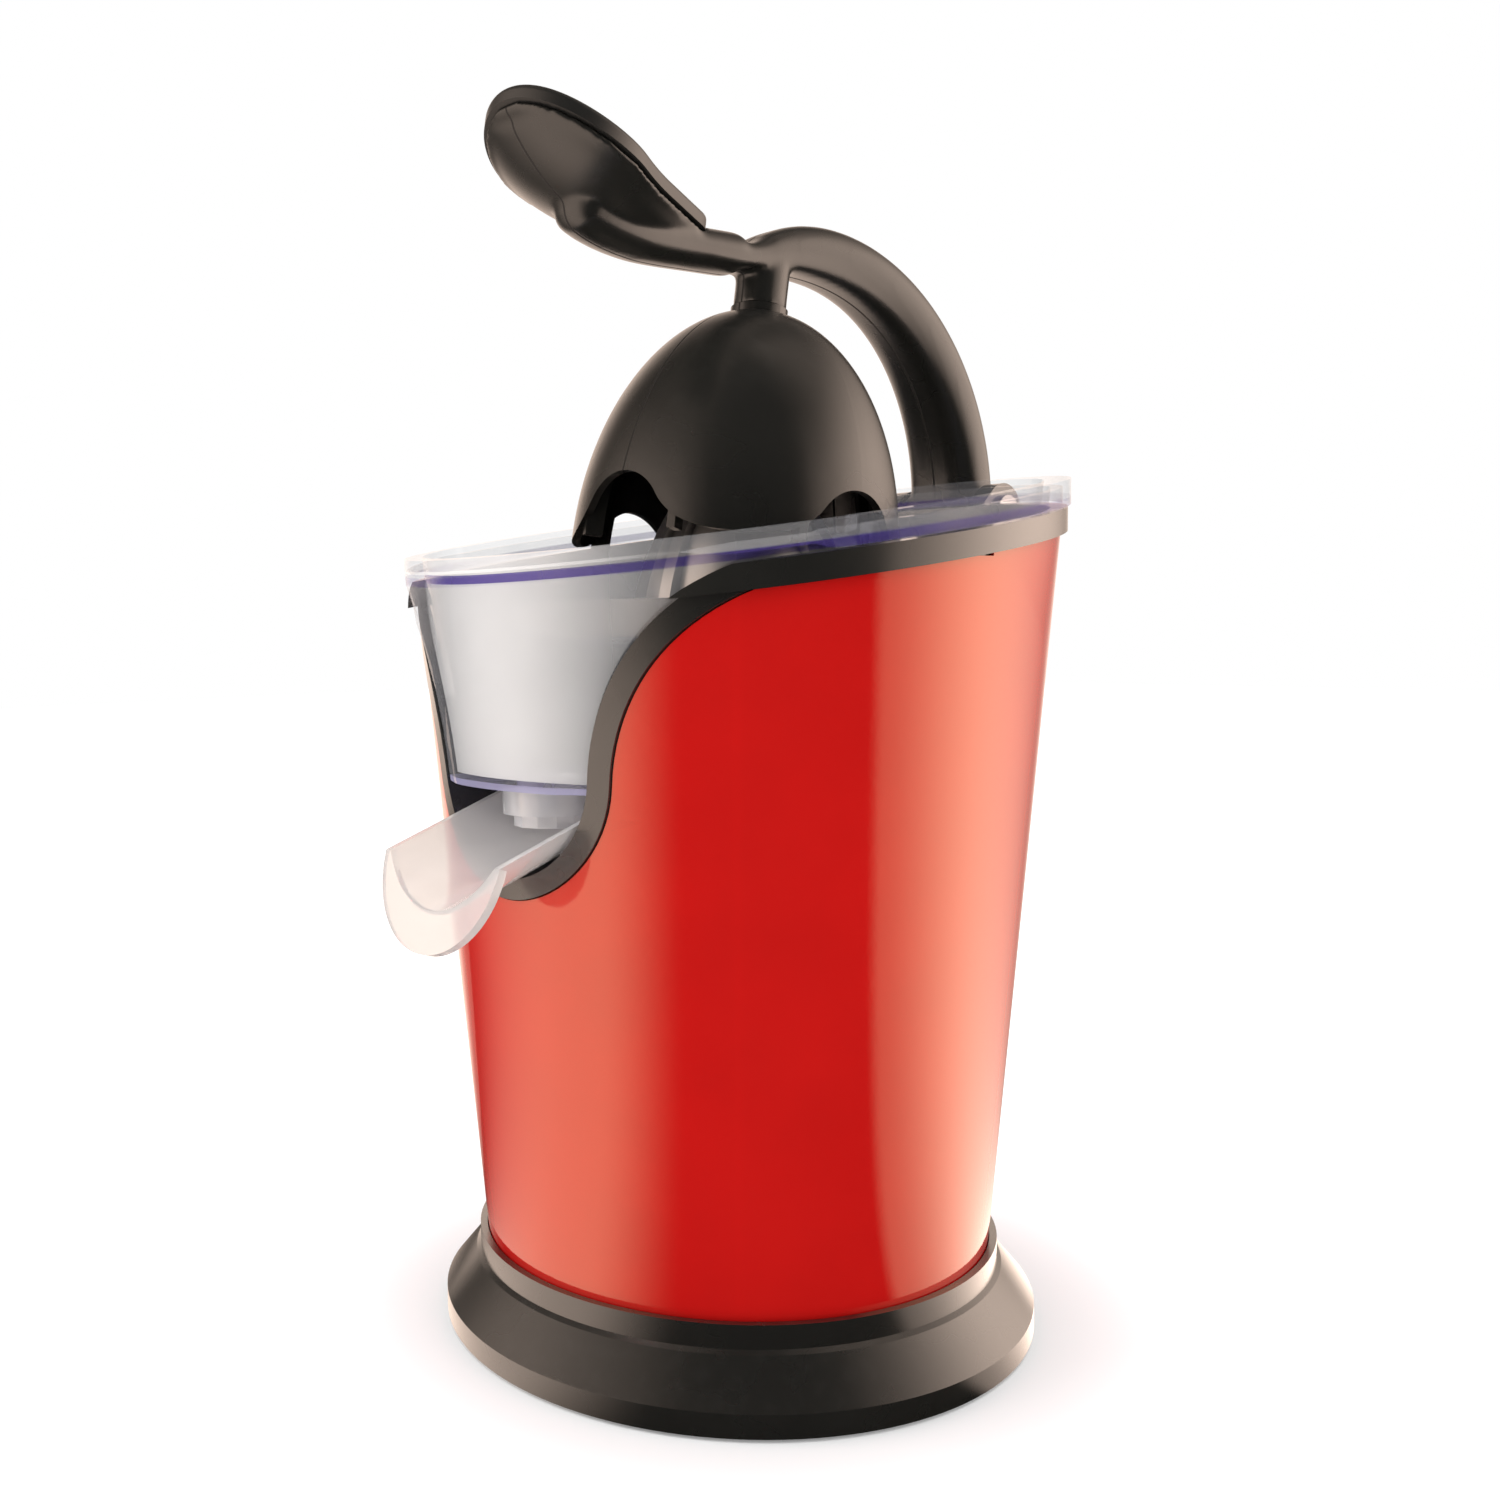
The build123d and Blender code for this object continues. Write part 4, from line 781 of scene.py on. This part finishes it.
class JUICER_OT_mouldings(bpy.types.Operator):
    """Black mouldings: base, housing, lever, dome and palm rest"""

    bl_idname = "juicer.mouldings"
    bl_label = "Finish the black mouldings"

    def execute(self, context):
        finish = context.scene.juicer_finish
        black = tuple(finish.black)
        satin, dust = finish.satin, finish.dust
        plain = moulding("black_moulding", black, satin, dust)
        seamed = moulding("seamed_moulding", black, satin, dust, seam=True)
        pad = moulding("palm_skin", tuple(finish.palm), satin + 0.1, dust, grain_scale=2200.0)
        shiny = moulding("shiny_moulding", black, satin, dust, coat=0.8)
        dress(("upper_housing",), shiny)
        self.straighten_base(shiny)
        dress(("press_dome",), seamed)
        self.blend_lever(seamed)
        dress(HIDDEN_BLACK_NODES, plain)
        dress(("palm_pad",), pad)
        return {"FINISHED"}

    def straighten_base(self, material):
        """The base ring with its skirt as a plain cone, from its upright edge to the neck."""
        base = copy_node("base_ring", "base_skirt", (material,))
        (low_r, low_z), (high_r, high_z) = SKIRT
        for v in base.data.vertices:
            radius = math.hypot(v.co.x, v.co.y)
            if low_z < v.co.z < high_z and radius > high_r:
                cone = low_r + (high_r - low_r) * (v.co.z - low_z) / (high_z - low_z)
                v.co.x *= cone / radius
                v.co.y *= cone / radius
        turned_normals(base)
        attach(base, "base")
        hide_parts("base_ring")

    def blend_lever(self, material):
        """The lever with a broad tongue under the palm rest, its forms run into each other."""
        lever = copy_node("lever_arm", "lever_beam", (material,))
        raised = Matrix.Rotation(-LEVER_RAISED, 3, "X")
        pin = Vector((0, *LEVER_PIN))
        steps = zip(TONGUE_KEEL, TONGUE_KEEL[1:])
        halfway = [((a[0] + b[0]) / 2, (a[1] + b[1]) / 2) for a, b in steps]
        for y, low in (*TONGUE_KEEL, *halfway):
            place = pin + raised @ (Vector((0, y, low + TONGUE_SIZE[2])) - pin)
            bpy.ops.mesh.primitive_uv_sphere_add(
                segments=24, ring_count=12, location=place, scale=TONGUE_SIZE
            )
            bpy.context.object.select_set(True)
            lever.select_set(True)
            bpy.context.view_layer.objects.active = lever
            bpy.ops.object.join()
        bpy.ops.object.modifier_add(type="REMESH")
        skin = lever.modifiers[-1]
        skin.mode = "VOXEL"
        skin.voxel_size = LEVER_GRID
        bpy.ops.object.modifier_apply(modifier=skin.name)
        self.weigh(lever)
        bpy.ops.object.modifier_add(type="SMOOTH")
        ease = lever.modifiers[-1]
        ease.factor = LEVER_EASE
        ease.iterations = LEVER_ROUNDS
        ease.vertex_group = "free"
        bpy.ops.object.modifier_apply(modifier=ease.name)
        pad = node_tree("palm_pad")
        down = raised @ Vector((0, 0, -1))
        for v in lever.data.vertices:
            gap = pad.find_nearest(v.co)[3]
            v.co += down * max(PAD_GROOVE - gap, 0.0)
        bpy.ops.object.shade_smooth()
        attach(lever, "lever")
        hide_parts("lever_arm")

    def weigh(self, lever):
        """Marks how free each point is to move, which is not at all beside another piece."""
        touching = ("press_dome", "dome_screw", "hinge_pin", "hinge_washers", "upper_housing")
        near = [node_tree(name) for name in touching]
        group = lever.vertex_groups.new(name="free")
        for v in lever.data.vertices:
            gap = min(tree.find_nearest(v.co)[3] for tree in near)
            share = min(max((gap - FREE_FROM) / FREE_SPAN, 0.0), 1.0)
            group.add((v.index,), share, "REPLACE")


class JUICER_OT_clear_parts(bpy.types.Operator):
    """Clear collector with a milky front wall, outlet nozzle and spout"""

    bl_idname = "juicer.clear_parts"
    bl_label = "Finish the clear parts"

    def execute(self, context):
        finish = context.scene.juicer_finish
        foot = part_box("collector")[0][2]
        edges = {
            "Rim low": RIM_Z - RIM_EDGE[0],
            "Rim high": RIM_Z - RIM_EDGE[1],
            "Floor high": foot + FLOOR_EDGE,
        }
        thick = {"tint": finish.tint, "edges": edges}
        clear = thin_wall("clear_rim", finish.clear, cover=0.08, front=0.0, **thick)
        milky = thin_wall("milky_wall", finish.milk, cover=0.10, front=0.70, **thick)
        nozzle = clear_moulding("clear_nozzle", NOZZLE_COLOUR, share=0.65, roughness=0.03)
        spout = clear_moulding("clear_spout", finish.lip, share=0.55, roughness=0.05)
        dress(("outlet_nozzle",), nozzle)
        dress(("spout",), spout)
        self.line_collector(clear, milky, foot)
        return {"FINISHED"}

    def line_collector(self, clear, milky, foot):
        """The collector with a front wall that runs flush into the rim and is milky inside."""
        bowl = copy_node("collector", "collector_bowl", (clear, milky))
        for face in bowl.data.polygons:
            x, y, z = face.center
            inward = face.normal.x * x + face.normal.y * y < INWARD * math.hypot(x, y)
            face.select = y < FRONT_WALL_Y and z > foot + WALL_FOOT and inward
        bpy.ops.object.mode_set(mode="EDIT")
        bowl.active_material_index = 1
        bpy.ops.object.material_slot_assign()
        bpy.ops.object.mode_set(mode="OBJECT")
        self.fill_front(bowl, foot)
        turned_normals(bowl)
        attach(bowl, "base")
        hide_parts("collector")

    def fill_front(self, bowl, foot):
        """Moves the front of the outer wall out under the rim, and less beside the housing."""
        black = node_tree("upper_housing")
        slope = math.tan(math.radians(RIM_SLANT))
        for v in bowl.data.vertices:
            radius = math.hypot(v.co.x, v.co.y)
            drop = RIM_Z - (v.co.z - slope * v.co.y)
            up = v.co.z - foot
            wall = OUTER_WALL[0] + (OUTER_WALL[1] - OUTER_WALL[0]) * up / OUTER_WALL_H
            if v.co.y > FRONT_WALL_Y or radius < wall - WALL_SLACK or drop < RIM_TOP:
                continue
            if drop > RIM_UNDER and radius < wall + WALL_SLACK:
                goal_r = radius + WALL_OUT[0] + WALL_OUT[1] * up / OUTER_WALL_H
                goal_drop = drop
            else:
                parting, inner, outer = LOW_EDGE if drop > RIM_UNDER else HIGH_EDGE
                goal_r, goal_drop = inner if radius < parting else outer
            goal = Vector((v.co.x * goal_r / radius, v.co.y * goal_r / radius, 0.0))
            goal.z = RIM_Z - goal_drop + slope * goal.y
            share = (black.find_nearest(goal)[3] - HOUSING_GAP) / HOUSING_SPAN
            v.co = v.co.lerp(goal, min(max(share, 0.0), 1.0))


class JUICER_OT_steel_parts(bpy.types.Operator):
    """Brushed reamer and strainer, and turned pins, screws and shafts"""

    bl_idname = "juicer.steel_parts"
    bl_label = "Finish the steel parts"

    def execute(self, context):
        finish = context.scene.juicer_finish
        # The strainer keeps a share of the steel colour, darker than the reamer
        dark = tuple(STRAINER_SHARE * c for c in finish.steel)
        brushed = metal("brushed_steel", finish.steel, roughness=0.36, lines=2600.0)
        strainer = metal("strainer_steel", dark, roughness=0.14, lines=2600.0)
        turned = metal("turned_steel", finish.turned, roughness=0.22, lines=1800.0)
        dress(("reamer",), brushed)
        dress(("strainer",), strainer)
        dress(TURNED_NODES, turned)
        self.wind_spring(turned)
        return {"FINISHED"}

    def wind_spring(self, material):
        """The spring under the spindle, attached to the output."""
        spring = copy_node("press_spring", "spring_coil", (material,))
        bpy.ops.object.shade_smooth()
        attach(spring, "output")
        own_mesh(spring)
        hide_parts("press_spring")


class JUICER_OT_drive(bpy.types.Operator):
    """Motor, gears, chassis, bushes, feet and seals"""

    bl_idname = "juicer.drive"
    bl_label = "Finish the drive and the feet"

    def execute(self, context):
        finish = context.scene.juicer_finish
        dust = finish.dust
        rubber = moulding("black_rubber", finish.rubber, 0.7, dust, grain_scale=2600.0)
        gears = moulding("gear_plastic", finish.gear, 0.45, 0.0)
        chassis = moulding("chassis_plastic", finish.chassis, 0.5, dust)
        iron = metal("laminations", finish.lamination, roughness=0.5, lines=2600.0)
        copper = metal("varnished_copper", finish.winding, roughness=0.35, lines=1400.0)
        bronze = metal("sintered_bronze", finish.bronze, roughness=0.45, lines=700.0)
        dress(RUBBER_NODES, rubber)
        dress(GEAR_NODES, gears)
        dress(CHASSIS_NODES, chassis)
        dress(("motor_stator",), iron)
        dress(("field_coils",), copper)
        dress(BRONZE_NODES, bronze)
        return {"FINISHED"}


class JUICER_PT_panel(bpy.types.Panel):
    """Lists the steps that dress the juicer"""

    bl_idname = "JUICER_PT_panel"
    bl_label = "Citrus juicer"
    bl_space_type = "VIEW_3D"
    bl_region_type = "UI"
    bl_category = "Juicer"

    def draw(self, context):
        for step in STEPS:
            self.layout.operator(step.bl_idname)
        scene = context.scene
        for group in (scene.juicer_camera, scene.juicer_light, scene.juicer_finish):
            for name in group.__annotations__:
                self.layout.prop(group, name)


STEPS = (
    JUICER_OT_shell,
    JUICER_OT_mouldings,
    JUICER_OT_clear_parts,
    JUICER_OT_steel_parts,
    JUICER_OT_drive,
    JUICER_OT_stage,
)
CLASSES = (JuicerCamera, JuicerLight, JuicerFinish, *STEPS, JUICER_PT_panel)
SHARED_EFFECTS = (
    moulded_grain,
    settled_dust,
    mould_seam,
    brushed_lines,
    thick_edges,
    milky_front,
)


def register():
    """Registers the classes and the scene's settings."""
    for cls in CLASSES:
        bpy.utils.register_class(cls)
    bpy.types.Scene.juicer_camera = PointerProperty(type=JuicerCamera)
    bpy.types.Scene.juicer_light = PointerProperty(type=JuicerLight)
    bpy.types.Scene.juicer_finish = PointerProperty(type=JuicerFinish)


def unregister():
    """Removes the scene's settings and the classes."""
    del bpy.types.Scene.juicer_finish
    del bpy.types.Scene.juicer_light
    del bpy.types.Scene.juicer_camera
    for cls in reversed(CLASSES):
        bpy.utils.unregister_class(cls)


def main():
    """Dresses the juicer."""
    register()
    for make_group in SHARED_EFFECTS:
        make_group()
    bpy.ops.juicer.shell()
    bpy.ops.juicer.mouldings()
    bpy.ops.juicer.clear_parts()
    bpy.ops.juicer.steel_parts()
    bpy.ops.juicer.drive()
    bpy.ops.juicer.stage()


if __name__ == "__main__":
    main()
